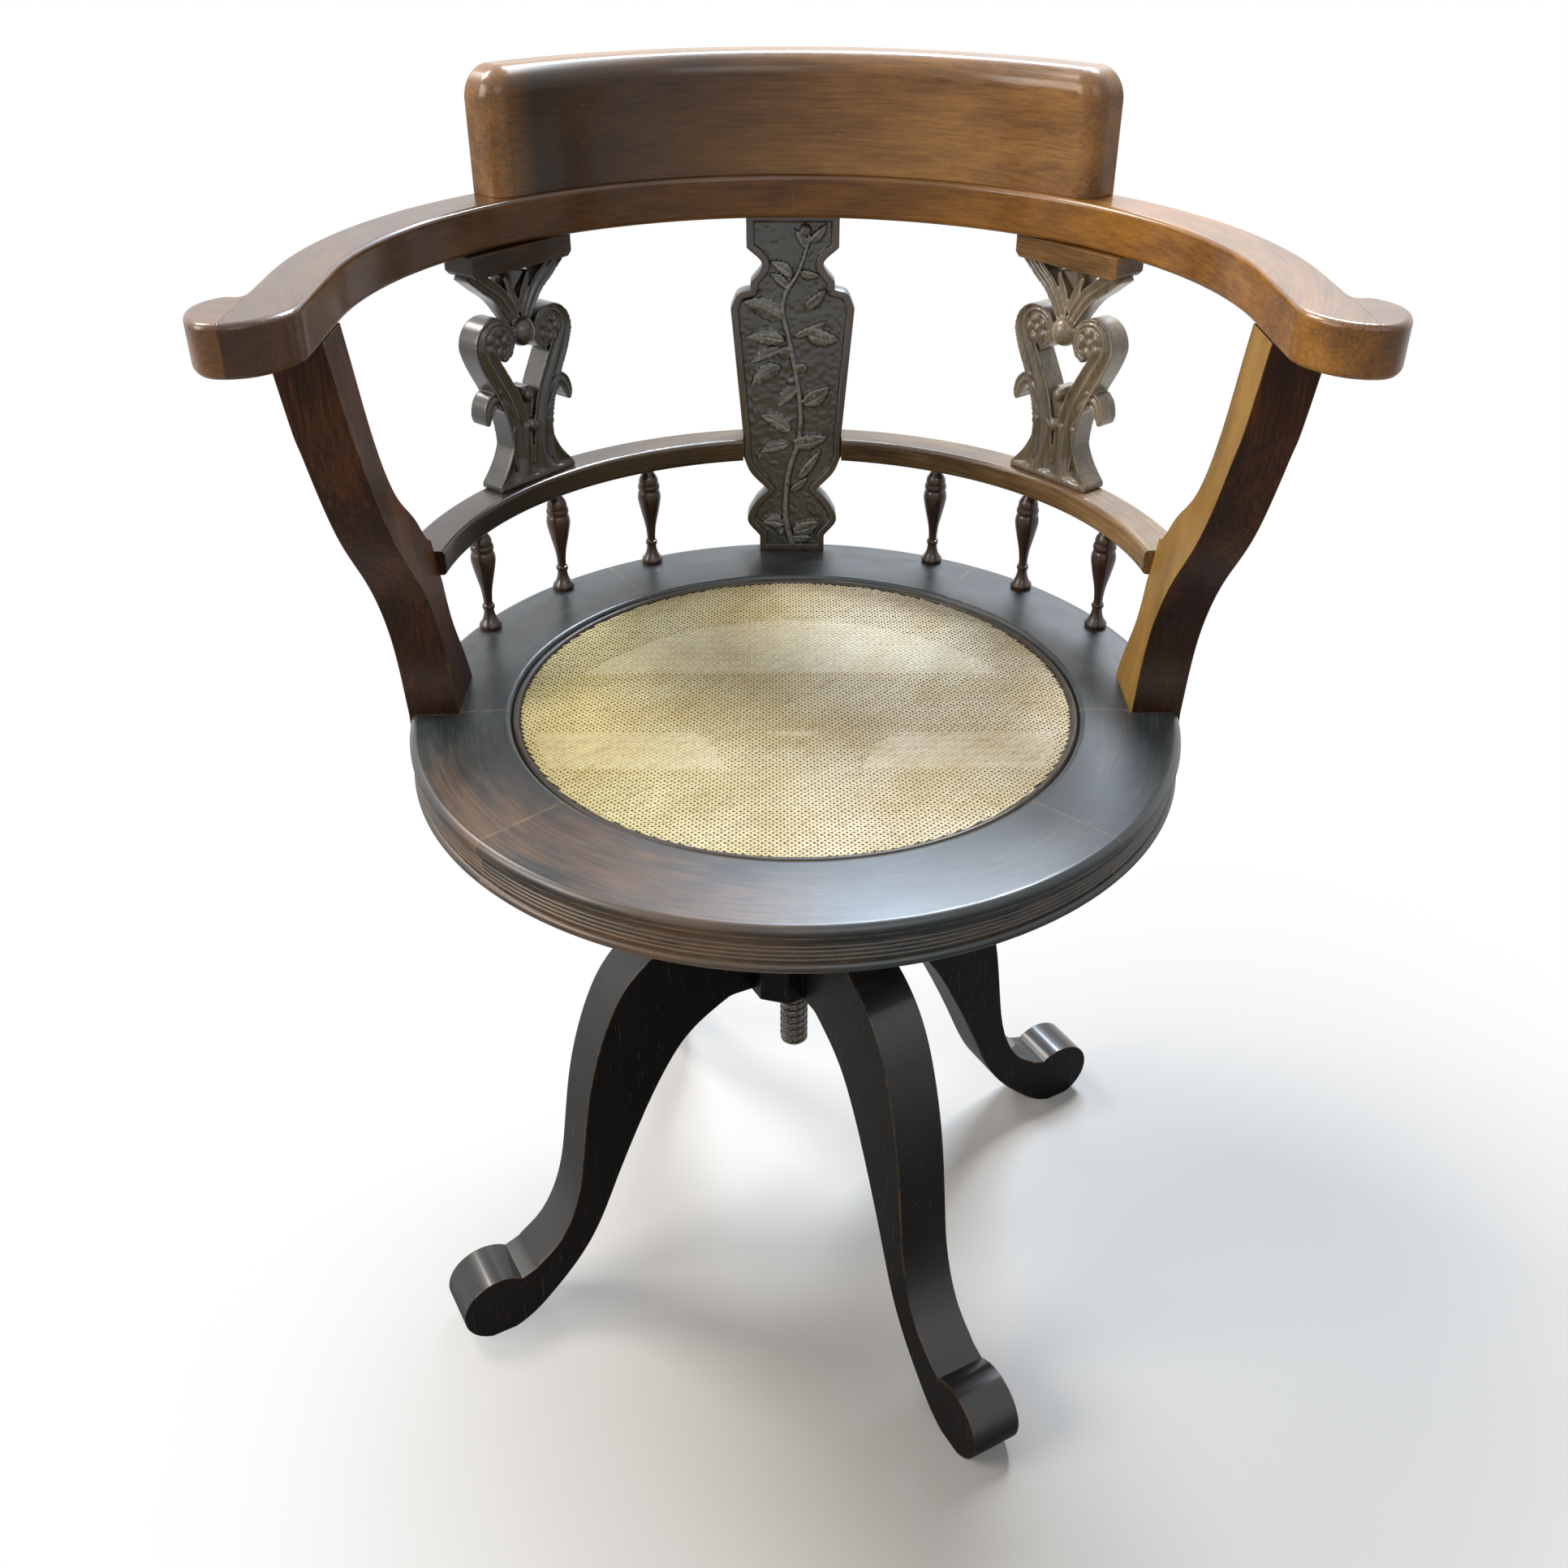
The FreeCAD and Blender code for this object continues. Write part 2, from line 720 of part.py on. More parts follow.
def crest_dowels(name, radius, length):
    """The dowels that stand the crest rail on the arms."""
    reach = n.arm_inner_radius + n.crest_front_setback + n.crest_thickness / 2
    made = []
    for index, angle in enumerate((55, 72, 108, 125)):
        place = on_circle(reach, angle, (0.0, -n.arm_bow_centre))
        low = n.arm_top_height - n.dowel_length / 2
        made.append(rod("%s_%d" % (name, index), radius, length, (*place, low), (0, 0, 1)))
    return made


def arm_joint_dowels(name, radius, length):
    """The two dowels across the butt joint behind the sitter."""
    made = []
    for index, share in enumerate((0.3, 0.7)):
        along = -n.arm_bow_centre + n.arm_inner_radius + share * n.arm_width
        level = n.arm_bottom + n.arm_thickness / 2
        start = (-n.dowel_length / 2, along, level)
        made.append(rod("%s_%d" % (name, index), radius, length, start, (1, 0, 0)))
    return made


def pad_range(name):
    """The corner of the arm that the glued pad takes up, with its straight glue line."""
    box = doc.addObject("Part::Box", name)
    box.setExpression("Length", "2 * Sizes.pad_projection")
    box.setExpression("Width", "Sizes.pad_run + Sizes.pad_blend")
    box.Height = n.arm_thickness + 2
    low = -n.arm_front_reach - n.pad_blend / 2
    box.Placement.Base = V(n.arm_outer_radius - n.pad_glue_inset, low, n.arm_bottom - 1)
    return box


def build_arms():
    """Both arm rails, their pads and the dowels that hold them."""
    body = new_body("arm_blank")
    drawing = sketch(body, "arm_plan", "XY_Plane", arm_outline(), n.arm_bottom)
    blank = pad(body, drawing, "arm_thick", "Sizes.arm_thickness")
    doc.recompute()
    found = []
    for index, edge in enumerate(blank.Shape.Edges, start=1):
        box = edge.BoundBox
        if box.ZLength < 0.01 and box.XMax > 0.01:
            found.append("Edge%d" % index)
    fillet = body.newObject("PartDesign::Fillet", "arm_round")
    fillet.Base = (blank, found)
    fillet.setExpression("Radius", "Sizes.arm_edge_rounding")
    tools = [pad_range("arm_pad_housing")]
    tools += post_top_dowel("arm_post_bore", hole_radius, hole_length, 1)
    tools += crest_dowels("arm_crest_bore", hole_radius, hole_length)[:2]
    tools += arm_joint_dowels("arm_joint_bore", hole_radius, hole_length)
    pair(cut("arm_rail_cut", body, tools), "arm_rail")
    pair(common("arm_pad_shaped", [body, pad_range("arm_pad_range")]), "arm_pad")
    group("arm_joint_dowels", arm_joint_dowels("arm_dowel", "Sizes.dowel_radius",
                                               "Sizes.dowel_length"))


# Crest rail: a thick bent board with a wide rounded moulding along its top and ends


def build_crest():
    """The crest rail: a bent board with soft ends and a rounded front edge."""
    inner = n.arm_inner_radius + n.crest_front_setback
    outer = inner + n.crest_thickness
    low = n.arm_top_height
    high = low + n.crest_height
    section = [
        line((inner, low), (inner, high)),
        line((inner, high), (outer, high)),
        line((outer, high), (outer, low)),
        line((outer, low), (inner, low)),
    ]
    body = new_body("crest_bend")
    drawing = sketch(body, "crest_section", "XZ_Plane", section)
    bent = revolve(body, drawing, "crest_turn", 2 * n.crest_half_angle)
    doc.recompute()

    def round_off(base, name, size, wanted):
        """Rounds the edges whose ends all pass a test on radius and height."""
        found = []
        for index, edge in enumerate(base.Shape.Edges):
            ends = [(math.hypot(v.X, v.Y), v.Z) for v in edge.Vertexes]
            if wanted(ends):
                found.append("Edge%d" % (index + 1))
        made = body.newObject("PartDesign::Fillet", name)
        made.Base = (base, found)
        made.setExpression("Radius", "Sizes." + size)
        doc.recompute()
        return made

    def on_front(ends):
        return all(abs(r - inner) < 0.01 for r, z in ends) and max(z for r, z in ends) > low + 0.01

    def on_back(ends):
        return all(abs(r - outer) < 0.01 for r, z in ends) and max(z for r, z in ends) > low + 0.01

    def on_shoulder(ends):
        return min(z for r, z in ends) > high - 0.01 and abs(ends[0][0] - ends[-1][0]) > 1

    softened = round_off(bent, "crest_corners", "crest_corner_radius", on_shoulder)
    softened = round_off(softened, "crest_front_round", "crest_front_rounding", on_front)
    round_off(softened, "crest_back_round", "crest_back_rounding", on_back)
    body.Placement = FreeCAD.Placement(V(0, -n.arm_bow_centre, 0), FreeCAD.Rotation(Z_AXIS, 90))
    tools = crest_dowels("crest_bore", hole_radius, hole_length)
    keep(cut("crest_cut", body, tools), "crest_rail")
    group("crest_dowels", crest_dowels("crest_dowel", "Sizes.dowel_radius",
                                       "Sizes.dowel_length"))


# Middle rail: two bent strips on the spindles, from the posts to the centre splat


def build_middle_rail():
    """The two halves of the low back rail."""
    inner = n.middle_rail_inner
    outer = n.middle_rail_outer
    post = n.post_shoulder_back
    splat = n.splat_hip_half_width
    start_in = math.degrees(math.asin(post / inner))
    start_out = math.degrees(math.asin(post / outer))
    end_in = math.degrees(math.acos(splat / inner))
    end_out = math.degrees(math.acos(splat / outer))
    edges = [
        circle_arc(inner, start_in, end_in),
        line(on_circle(inner, end_in), on_circle(outer, end_out)),
        circle_arc(outer, end_out, start_out),
        line(on_circle(outer, start_out), on_circle(inner, start_in)),
    ]
    body = new_body("middle_rail_blank")
    drawing = sketch(body, "middle_rail_plan", "XY_Plane", edges, n.middle_rail_bottom)
    blank = pad(body, drawing, "middle_rail_pad", "Sizes.middle_rail_thickness")
    doc.recompute()
    found = []
    for index, edge in enumerate(blank.Shape.Edges, start=1):
        if edge.BoundBox.ZLength < 0.01 and edge.Length > n.middle_rail_width * 2:
            found.append("Edge%d" % index)
    fillet = body.newObject("PartDesign::Fillet", "middle_rail_round")
    fillet.Base = (blank, found)
    fillet.setExpression("Radius", "Sizes.middle_rail_rounding")
    tools = spindle_holes("middle_rail_mortise", n.middle_rail_bottom - n.tenon_clearance,
                          spindle_angles())
    pair(cut("middle_rail_cut", body, tools), "middle_rail")


# Spindles: six small turnings


def spindle_section():
    """Half of the turned outline from its lower tenon to its upper one."""
    low = n.seat_top_height
    high = n.middle_rail_bottom
    run = n.spindle_height
    belly = n.spindle_belly_radius
    foot = n.spindle_foot_radius
    neck = n.spindle_neck_radius
    tenon = n.tenon_radius
    reach = n.tenon_length - n.tenon_clearance
    outline = curve([(foot - 1.0, low), (foot, low + run * 0.05), (foot - 1.6, low + run * 0.10),
                     (neck + 0.4, low + run * 0.17), (neck + 1.0, low + run * 0.215),
                     (neck + 0.2, low + run * 0.26), (neck + 1.3, low + run * 0.40),
                     (belly - 1.6, low + run * 0.55), (belly, low + run * 0.68),
                     (belly - 1.0, low + run * 0.765)])
    ring_low = (belly - 1.0, low + run * 0.765)
    ring_high = (belly - 1.0, low + run * 0.83)
    head = curve([ring_high, (belly - 1.9, low + run * 0.89), (neck + 1.3, low + run * 0.95),
                  (neck + 0.9, high)])
    return [
        line((0, low - reach), (tenon, low - reach)),
        line((tenon, low - reach), (tenon, low)),
        line((tenon, low), (foot - 1.0, low)),
        outline,
        arc(ring_low, (belly - 0.4, low + run * 0.797), ring_high),
        head,
        line((neck + 0.9, high), (neck, high)),
        line((neck, high), (neck, high + reach)),
        line((neck, high + reach), (0, high + reach)),
        line((0, high + reach), (0, low - reach)),
    ]


def build_spindles():
    """Three spindles a side, named from the front."""
    for side, sign in (("right", 1), ("left", -1)):
        for place, angle in zip(("front", "middle", "back"), spindle_angles()):
            label = "spindle_%s_%s" % (side, place)
            body = new_body(label + "_turning")
            drawing = sketch(body, label + "_section", "XZ_Plane", spindle_section())
            revolve(body, drawing, label + "_turn")
            point = on_circle(n.spindle_circle_radius, angle)
            body.Placement.Base = V(sign * point[0], point[1], 0)
            keep(body, label)


# Centre splat: a shaped board with a sunk panel, for the carving


def splat_outline(inset):
    """The splat's front outline, inset evenly; right side up and left side down."""
    low = n.seat_top_height + inset
    high = n.arm_bottom - inset
    foot = n.splat_foot_half_width - inset
    lobe = n.splat_lobe_half_width - inset
    waist = n.splat_waist_half_width - inset
    hip = n.splat_hip_half_width - inset
    shoulder = n.splat_shoulder_half_width - inset
    step = n.splat_step_half_width - inset
    neck = n.splat_neck_half_width - inset
    head = n.splat_head_half_width - inset
    seat = n.seat_top_height
    rise = n.arm_bottom - seat
    lobe_low = seat + rise * 0.05 + inset * 0.5
    lobe_at = seat + rise * 0.102
    lobe_high = seat + rise * 0.16
    waist_at = seat + rise * 0.2
    hip_low = seat + rise * 0.252
    rail_low = n.middle_rail_bottom
    rail_high = n.middle_rail_top
    shoulder_at = seat + rise * 0.742
    step_low = seat + rise * 0.795 - inset * 0.6
    step_high = seat + rise * 0.816 - inset * 0.6
    neck_at = seat + rise * 0.865
    head_at = seat + rise * 0.91 + inset * 0.6

    def side(sign):
        return [
            [(sign * foot, low), (sign * foot, lobe_low)],
            [(sign * foot, lobe_low), (sign * lobe, lobe_at), (sign * (waist + 9), lobe_high),
             (sign * waist, waist_at)],
            [(sign * waist, waist_at), (sign * (hip - 5.5), hip_low), (sign * hip, rail_low)],
            [(sign * hip, rail_low), (sign * hip, rail_high)],
            [(sign * hip, rail_high), (sign * shoulder, shoulder_at)],
            [(sign * shoulder, shoulder_at), (sign * (shoulder - 5), shoulder_at + rise * 0.041),
             (sign * step, step_low)],
            [(sign * step, step_low), (sign * step, step_high)],
            [(sign * step, step_high), (sign * neck, neck_at), (sign * head, head_at)],
            [(sign * head, head_at), (sign * head, high)],
        ]

    edges = [line((-foot, low), (foot, low)), line((head, high), (-head, high))]
    for sign in (1, -1):
        for run in side(sign):
            edges.append(line(*run) if len(run) == 2 else curve(run))
    return edges


def build_centre_splat():
    """The centre splat with its raised border."""
    front = n.splat_front_distance
    board = extrusion("splat_board", splat_outline(0), "XZ", front, n.splat_thickness)
    sunk = extrusion("splat_sunk", splat_outline(n.splat_border), "XZ", front - 1,
                     n.splat_sinking + 1)
    keep(cut("splat_cut", board, [sunk]), "centre_splat")


# Side splats: pierced boards on the middle rail, each under a cap block


def side_levels():
    """The side splat's own heights: its foot, its ball and its top."""
    low = n.middle_rail_top
    top = n.arm_bottom - n.cap_block_height
    return low, low + (top - low) * 0.7, top


def side_half(sign):
    """One side of a side splat's outline: along the board, and height."""
    low, ball, top = side_levels()
    rise = top - low
    foot = n.side_foot_half_width
    waist = n.side_waist_half_width
    heart = n.side_heart_half_width
    strut = n.cap_block_half_length - 4
    return [
        line((sign * foot, low), (sign * foot, low + rise * 0.03)),
        curve([(sign * foot, low + rise * 0.03), (sign * (waist + 5), low + rise * 0.136),
               (sign * waist, low + rise * 0.27)], (-sign, 0.45), (0, 1)),
        line((sign * waist, low + rise * 0.27), (sign * (foot - 2), low + rise * 0.32)),
        line((sign * (foot - 2), low + rise * 0.32), (sign * (waist + 5), low + rise * 0.414)),
        curve([(sign * (waist + 5), low + rise * 0.414), (sign * (heart - 5), low + rise * 0.543),
               (sign * heart, low + rise * 0.664), (sign * heart * 0.62, ball + rise * 0.107),
               (sign * heart * 0.257, ball + rise * 0.064)]),
        curve([(sign * heart * 0.257, ball + rise * 0.064), (sign * heart * 0.51, top - rise * 0.1),
               (sign * strut, top)]),
    ]


def build_side_splats():
    """The right-hand side splat and its cap block, and their twins."""
    low, ball, top = side_levels()
    rise = top - low
    foot = n.side_foot_half_width
    strut = n.cap_block_half_length - 4
    ball_top = ball + n.side_ball_radius
    outline = [line((-foot, low), (foot, low)), line((strut, top), (-strut, top))]
    outline += side_half(1) + side_half(-1)
    start = n.side_splat_centre_radius - n.side_splat_thickness / 2
    place = FreeCAD.Placement(V(0, 0, 0), FreeCAD.Rotation(Z_AXIS, n.side_splat_angle))
    board = extrusion("side_splat_board", outline, "YZ", start, n.side_splat_thickness)
    tip = ball - rise * 0.264
    heart = extrusion("side_splat_heart", [
        curve([(0, tip), (foot * 0.235, ball - rise * 0.129), (0, ball - n.side_ball_radius)]),
        curve([(0, tip), (-foot * 0.235, ball - rise * 0.129), (0, ball - n.side_ball_radius)]),
    ], "YZ", start - 1, n.side_splat_thickness + 2)
    gaps = []
    for sign in (1, -1):
        inner = (sign * strut * 0.13, ball_top + rise * 0.029)
        outer = (sign * strut * 0.76, top - rise * 0.021)
        gaps.append(extrusion("side_splat_gap_%d" % (sign + 1), [
            curve([inner, (sign * strut * 0.37, top - rise * 0.1), outer]),
            line(outer, (sign * strut * 0.18, outer[1])),
            line((sign * strut * 0.18, outer[1]), inner),
        ], "YZ", start - 1, n.side_splat_thickness + 2))
    for item in [board, heart] + gaps:
        drawing = item.Base
        drawing.Placement = place.multiply(drawing.Placement)
        item.Dir = place.Rotation.multVec(V(1, 0, 0))
    pair(cut("side_splat_cut", board, [heart] + gaps), "side_splat")
    half = n.cap_block_half_length
    chamfer = n.cap_block_chamfer
    block = extrusion("cap_block_board", polyline([
        (-half, n.arm_bottom), (-half, top + chamfer), (-half + chamfer, top),
        (half - chamfer, top), (half, top + chamfer), (half, n.arm_bottom),
        (-half, n.arm_bottom)]), "YZ", n.side_splat_centre_radius - n.cap_block_depth / 2,
        n.cap_block_depth)
    block.Base.Placement = place.multiply(block.Base.Placement)
    block.Dir = place.Rotation.multVec(V(1, 0, 0))
    pair(block, "cap_block")


# Base: a chamfered hub, four sawn legs with scroll feet, and the dowels between them


def leg_outline():
    """A leg's side view: distance from the screw across, height up."""
    root = n.hub_half_width
    top = n.hub_top_height - n.leg_root_drop
    under = top - n.leg_root_height
    knee = n.leg_knee_reach
    shin = n.leg_shin_reach
    roll = (n.foot_roll_distance, n.foot_roll_height)
    radius = n.foot_roll_radius
    crease = on_circle(radius, 130, roll)
    flat = math.sqrt(radius ** 2 - roll[1] ** 2)
    outside = curve([
        (root, top),
        (root + (knee - root) * 0.74, top * 0.985),
        (knee, top * 0.933),
        (knee + (shin - knee) * 0.51, top * 0.807),
        (shin - (shin - knee) * 0.15, top * 0.633),
        (shin + (crease[0] - shin) * 0.02, top * 0.467),
        (shin + (crease[0] - shin) * 0.19, top * 0.317),
        (crease[0] - (crease[0] - shin) * 0.606, crease[1] + top * 0.084),
        (crease[0] - (crease[0] - shin) * 0.434, crease[1] + top * 0.048),
        (crease[0] - (crease[0] - shin) * 0.231, crease[1] + top * 0.0195),
        crease,
    ], (1, 0), (1, -0.35))
    start_of_flat = math.degrees(math.atan2(-roll[1], flat))
    roll_arc = circle_arc(radius, 130, start_of_flat, roll)
    calf = roll[0] - flat - shin
    inside = curve([
        (roll[0] - flat, 0),
        (shin + calf * 0.52, top * 0.067),
        (shin + calf * 0.18, top * 0.143),
        (shin - (shin - root) * 0.03, top * 0.22),
        (shin - (shin - root) * 0.152, top * 0.34),
        (shin - (shin - root) * 0.303, top * 0.49),
        (shin - (shin - root) * 0.51, top * 0.66),
        (root + (knee - root) * 0.48, under - top * 0.045),
        (root + (knee - root) * 0.23, under - top * 0.003),
        (root, under),
    ], (-1, 0.3), (-1, -0.05))
    return [outside, roll_arc, line((roll[0] + flat, 0), (roll[0] - flat, 0)), inside,
            line((root, under), (root, top))]


LEGS = {"leg_front_left": 180, "leg_front_right": 270, "leg_back_right": 0, "leg_back_left": 90}
LEG_DOWEL_SHARES = (0.27, 0.73)


def leg_dowel_rods(name, angle, radius, length, extra):
    """Two dowels from the hub into one leg."""
    made = []
    direction = (math.cos(math.radians(angle)), math.sin(math.radians(angle)), 0)
    low = n.hub_top_height - n.leg_root_drop - n.leg_root_height
    for index, share in enumerate(LEG_DOWEL_SHARES):
        reach = n.hub_half_width - n.leg_dowel_in_hub - extra
        start = (reach * direction[0], reach * direction[1], low + share * n.leg_root_height)
        made.append(rod("%s_%d" % (name, index), radius, length, start, direction))
    return made


def build_base():
    """The hub, the four legs and their dowels."""
    half = n.hub_half_width
    corner = half - n.hub_corner_chamfer
    octagon = polyline([(half, -corner), (half, corner), (corner, half), (-corner, half),
                        (-half, corner), (-half, -corner), (-corner, -half), (corner, -half),
                        (half, -corner)])
    body = new_body("hub_blank")
    drawing = sketch(body, "hub_plan", "XY_Plane", octagon, n.hub_bottom)
    pad(body, drawing, "hub_pad", "Sizes.hub_height")
    turned(body, n.leg_angle)
    bore = rod("hub_bore", "Sizes.bush_outer_radius + Sizes.bush_clearance",
               "Sizes.hub_height + 2 * Sizes.iron_gap", (0, 0, n.hub_bottom - n.iron_gap),
               (0, 0, 1))
    tools = [bore]
    dowels = []
    wall = n.dowel_clearance
    drill = "Sizes.leg_dowel_radius + Sizes.dowel_clearance"
    whole = "Sizes.leg_dowel_in_hub + Sizes.leg_dowel_in_leg"
    for label, quarter in LEGS.items():
        angle = n.leg_angle + quarter
        leg = new_body(label + "_board")
        drawing = sketch(leg, label + "_side", "XZ_Plane", leg_outline())
        pad(leg, drawing, label + "_pad", "Sizes.leg_thickness", True)
        turned(leg, angle)
        bores = leg_dowel_rods(label + "_bore", angle, drill, whole + " + 2 * Sizes.dowel_clearance",
                               wall)
        keep(cut(label + "_cut", leg, bores), label)
        tools += leg_dowel_rods(label + "_hub_bore", angle, drill,
                                whole + " + 2 * Sizes.dowel_clearance", wall)
        dowels += leg_dowel_rods(label + "_dowel", angle, "Sizes.leg_dowel_radius", whole, 0)
    tools += [item for item in flange_screw_holes("hub")]
    keep(cut("hub_cut", body, tools), "hub_block")
    group("leg_dowels", dowels)


# Swivel iron: the screw, its bush in the hub, the spider under the seat


def flange_screw_axes():
    """Where the bush's flange is screwed down to the hub."""
    reach = (n.screw_flange_radius + n.bush_outer_radius) / 2 + 3
    places = []
    for index in range(4):
        point = on_circle(reach, n.leg_angle + 45 + 90 * index)
        places.append(((*point, n.flange_top), (0, 0, -1)))
    return places


FLANGE_SCREW_LENGTH = 24


def flange_screw_holes(name):
    """The screw holes through the flange and into the hub."""
    return [screw_hole("%s_flange_hole_%d" % (name, i), str(FLANGE_SCREW_LENGTH + 1), place, way)
            for i, (place, way) in enumerate(flange_screw_axes())]


def build_swivel():
    """The round pieces on the swivel axis."""
    bore = n.screw_radius + n.screw_clearance
    flange_low = n.hub_top_height
    bush_low = n.flange_top - n.bush_length - n.screw_flange_thickness
    body = new_body("bush_turning")
    drawing = sketch(body, "bush_section", "XZ_Plane", polyline([
        (bore, bush_low), (n.bush_outer_radius, bush_low), (n.bush_outer_radius, flange_low),
        (n.screw_flange_radius, flange_low), (n.screw_flange_radius, n.flange_top),
        (bore, n.flange_top), (bore, bush_low)]))
    revolve(body, drawing, "bush_turn")
    keep(cut("bush_cut", body, flange_screw_holes("bush")), "screw_bush")
    group("bush_screws", [wood_screw("bush_screw_%d" % i, str(FLANGE_SCREW_LENGTH), place, way)
                          for i, (place, way) in enumerate(flange_screw_axes())])

    top = n.batten_bottom + n.top_nut_height + 3
    outline = [(0, n.screw_bottom), (n.screw_radius - 3, n.screw_bottom),
               (n.screw_radius, n.screw_bottom + 3)]
    level = n.screw_bottom + 5
    pitch = n.screw_pitch
    root = n.screw_radius - n.screw_root_depth
    count = int((n.flange_top - 4 - level) / pitch)
    for index in range(count):
        low = level + index * pitch
        outline += [(n.screw_radius, low), (root, low + pitch * 0.14), (root, low + pitch * 0.5),
                    (n.screw_radius, low + pitch * 0.64)]
    outline += [(n.screw_radius, top), (0, top), (0, n.screw_bottom)]
    body = new_body("screw_turning")
    drawing = sketch(body, "screw_section", "XZ_Plane", polyline(outline))
    revolve(body, drawing, "screw_turn")
    keep(body, "swivel_screw")

    shell = new_body("iron_boss")
    drawing = sketch(shell, "iron_section", "XZ_Plane", polyline([
        (bore, n.iron_bottom), (n.iron_boss_bottom_radius, n.iron_bottom),
        (n.iron_boss_bottom_radius, n.iron_bottom + 14),
        (n.iron_boss_top_radius, n.batten_bottom), (bore, n.batten_bottom),
        (bore, n.iron_bottom)]))
    revolve(shell, drawing, "iron_turn")
    shapes = [shell]
    for index in range(2):
        arm = doc.addObject("Part::Box", "iron_arm_%d" % index)
        arm.setExpression("Length", "2 * Sizes.iron_arm_reach")
        arm.setExpression("Width", "Sizes.iron_arm_width")
        arm.setExpression("Height", "Sizes.iron_plate_thickness")
        turn = FreeCAD.Rotation(Z_AXIS, n.iron_arm_angle + 90 * index)
        corner = turn.multVec(V(-n.iron_arm_reach, -n.iron_arm_width / 2, 0))
        arm.Placement = FreeCAD.Placement(corner + V(0, 0, n.iron_plate_bottom), turn)
        shapes.append(arm)
        rib = doc.addObject("Part::Wedge", "iron_rib_%d" % index)
        half = n.iron_arm_reach - 24
        rib.Xmin = -half
        rib.Xmax = half
        rib.X2min = -n.iron_boss_bottom_radius
        rib.X2max = n.iron_boss_bottom_radius
        rib.Ymin = 0
        rib.Ymax = n.iron_plate_bottom - n.iron_bottom - 16
        rib.Zmin = -3
        rib.Zmax = 3
        rib.Z2min = -3
        rib.Z2max = 3
        flip = FreeCAD.Rotation(V(1, 0, 0), -90)
        rib.Placement = FreeCAD.Placement(V(0, 0, n.iron_plate_bottom), turn.multiply(flip))
        shapes.append(rib)
    spider = doc.addObject("Part::MultiFuse", "iron_whole")
    spider.Shapes = shapes
    clear = rod("iron_clear", "Sizes.screw_radius + Sizes.screw_clearance",
                "Sizes.seat_top_height", (0, 0, 0), (0, 0, 1))
    holes = [screw_hole("iron_hole_%d" % i, "%.3f" % (n.iron_plate_thickness + 1), place, way)
             for i, (place, way) in enumerate(plate_screw_axes())]
    keep(cut("iron_cut", spider, [clear] + holes), "seat_spider")
    group("plate_screws", [wood_screw("plate_screw_%d" % i, "%.3f" % PLATE_SCREW_LENGTH, place, way)
                           for i, (place, way) in enumerate(plate_screw_axes())])

    nut = doc.addObject("Part::Prism", "top_nut_blank")
    nut.Polygon = 6
    nut.setExpression("Circumradius", "Sizes.top_nut_radius")
    nut.setExpression("Height", "Sizes.top_nut_height")
    nut.Placement.Base = V(0, 0, n.batten_bottom)
    nut_bore = rod("top_nut_bore", "Sizes.screw_radius + Sizes.screw_clearance",
                   "Sizes.top_nut_height", (0, 0, n.batten_bottom), (0, 0, 1))
    keep(cut("top_nut_cut", nut, [nut_bore]), "screw_top_nut")


PLATE_SCREW_LENGTH = 20


def plate_screw_axes():
    """Where the spider's arms are screwed up into the battens."""
    reach = n.batten_offset
    return [((sx * reach, sy * reach, n.iron_plate_bottom), (0, 0, 1))
            for sx in (1, -1) for sy in (1, -1)]


def build_battens():
    """The two battens that carry the spider, with their screws."""
    for label, sign in (("seat_batten_front", -1), ("seat_batten_back", 1)):
        box = doc.addObject("Part::Box", label + "_board")
        box.setExpression("Length", "2 * (Sizes.seat_radius - Sizes.batten_end_inset)")
        box.setExpression("Width", "Sizes.batten_width")
        box.setExpression("Height", "Sizes.batten_thickness")
        box.Placement.Base = V(-n.batten_half_length, sign * n.batten_offset - n.batten_width / 2,
                               n.batten_bottom)
        tools = [screw_hole("%s_up_%d" % (label, i), "%.3f" % batten_screw_run, place, way)
                 for i, (place, way) in enumerate(batten_screw_axes()) if place[1] * sign > 0]
        tools += [screw_hole("%s_plate_%d" % (label, i), "%.3f" % (PLATE_SCREW_LENGTH + 1), place, way)
                  for i, (place, way) in enumerate(plate_screw_axes()) if place[1] * sign > 0]
        keep(cut(label + "_cut", box, tools), label)
    group("batten_screws", [wood_screw("batten_screw_%d" % i, "%.3f" % (batten_screw_run - 1), place, way)
                            for i, (place, way) in enumerate(batten_screw_axes())])


build_seat_ring()
build_cane()
build_posts()
build_arms()
build_crest()
build_middle_rail()
build_spindles()
build_centre_splat()
build_side_splats()
build_base()
build_swivel()
build_battens()
doc.recompute()

# Every object has to be sound before anything is written

unsound = [obj.Name for obj in doc.Objects if "Invalid" in obj.State or "Error" in obj.State]
for piece in pieces:
    shape = piece.Shape
    if shape.isNull() or not shape.isValid() or not shape.Solids:
        unsound.append(piece.Label)
if unsound:
    raise RuntimeError("these did not build: " + ", ".join(unsound))

os.makedirs("parts", exist_ok=True)
for piece in pieces:
    piece.Shape.exportStep("parts/%s.step" % piece.Label)
    print("%-24s %2d solid(s) %12.1f mm3" % (piece.Label, len(piece.Shape.Solids), piece.Shape.Volume))
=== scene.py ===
# %% [markdown]
# A banker's swivel chair of about 1900: a round caned seat on a lifting screw, four sawn legs with
# scroll feet, one long arm rail bent round the sitter, and carved splats below it.  The solids come
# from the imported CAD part; this lesson dresses them.  Everything is in metres, +Z up, and the
# sitter faces -Y.

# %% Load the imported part
import json
import math

import bmesh
import bpy
import numpy as np
from mathutils import Matrix, Vector


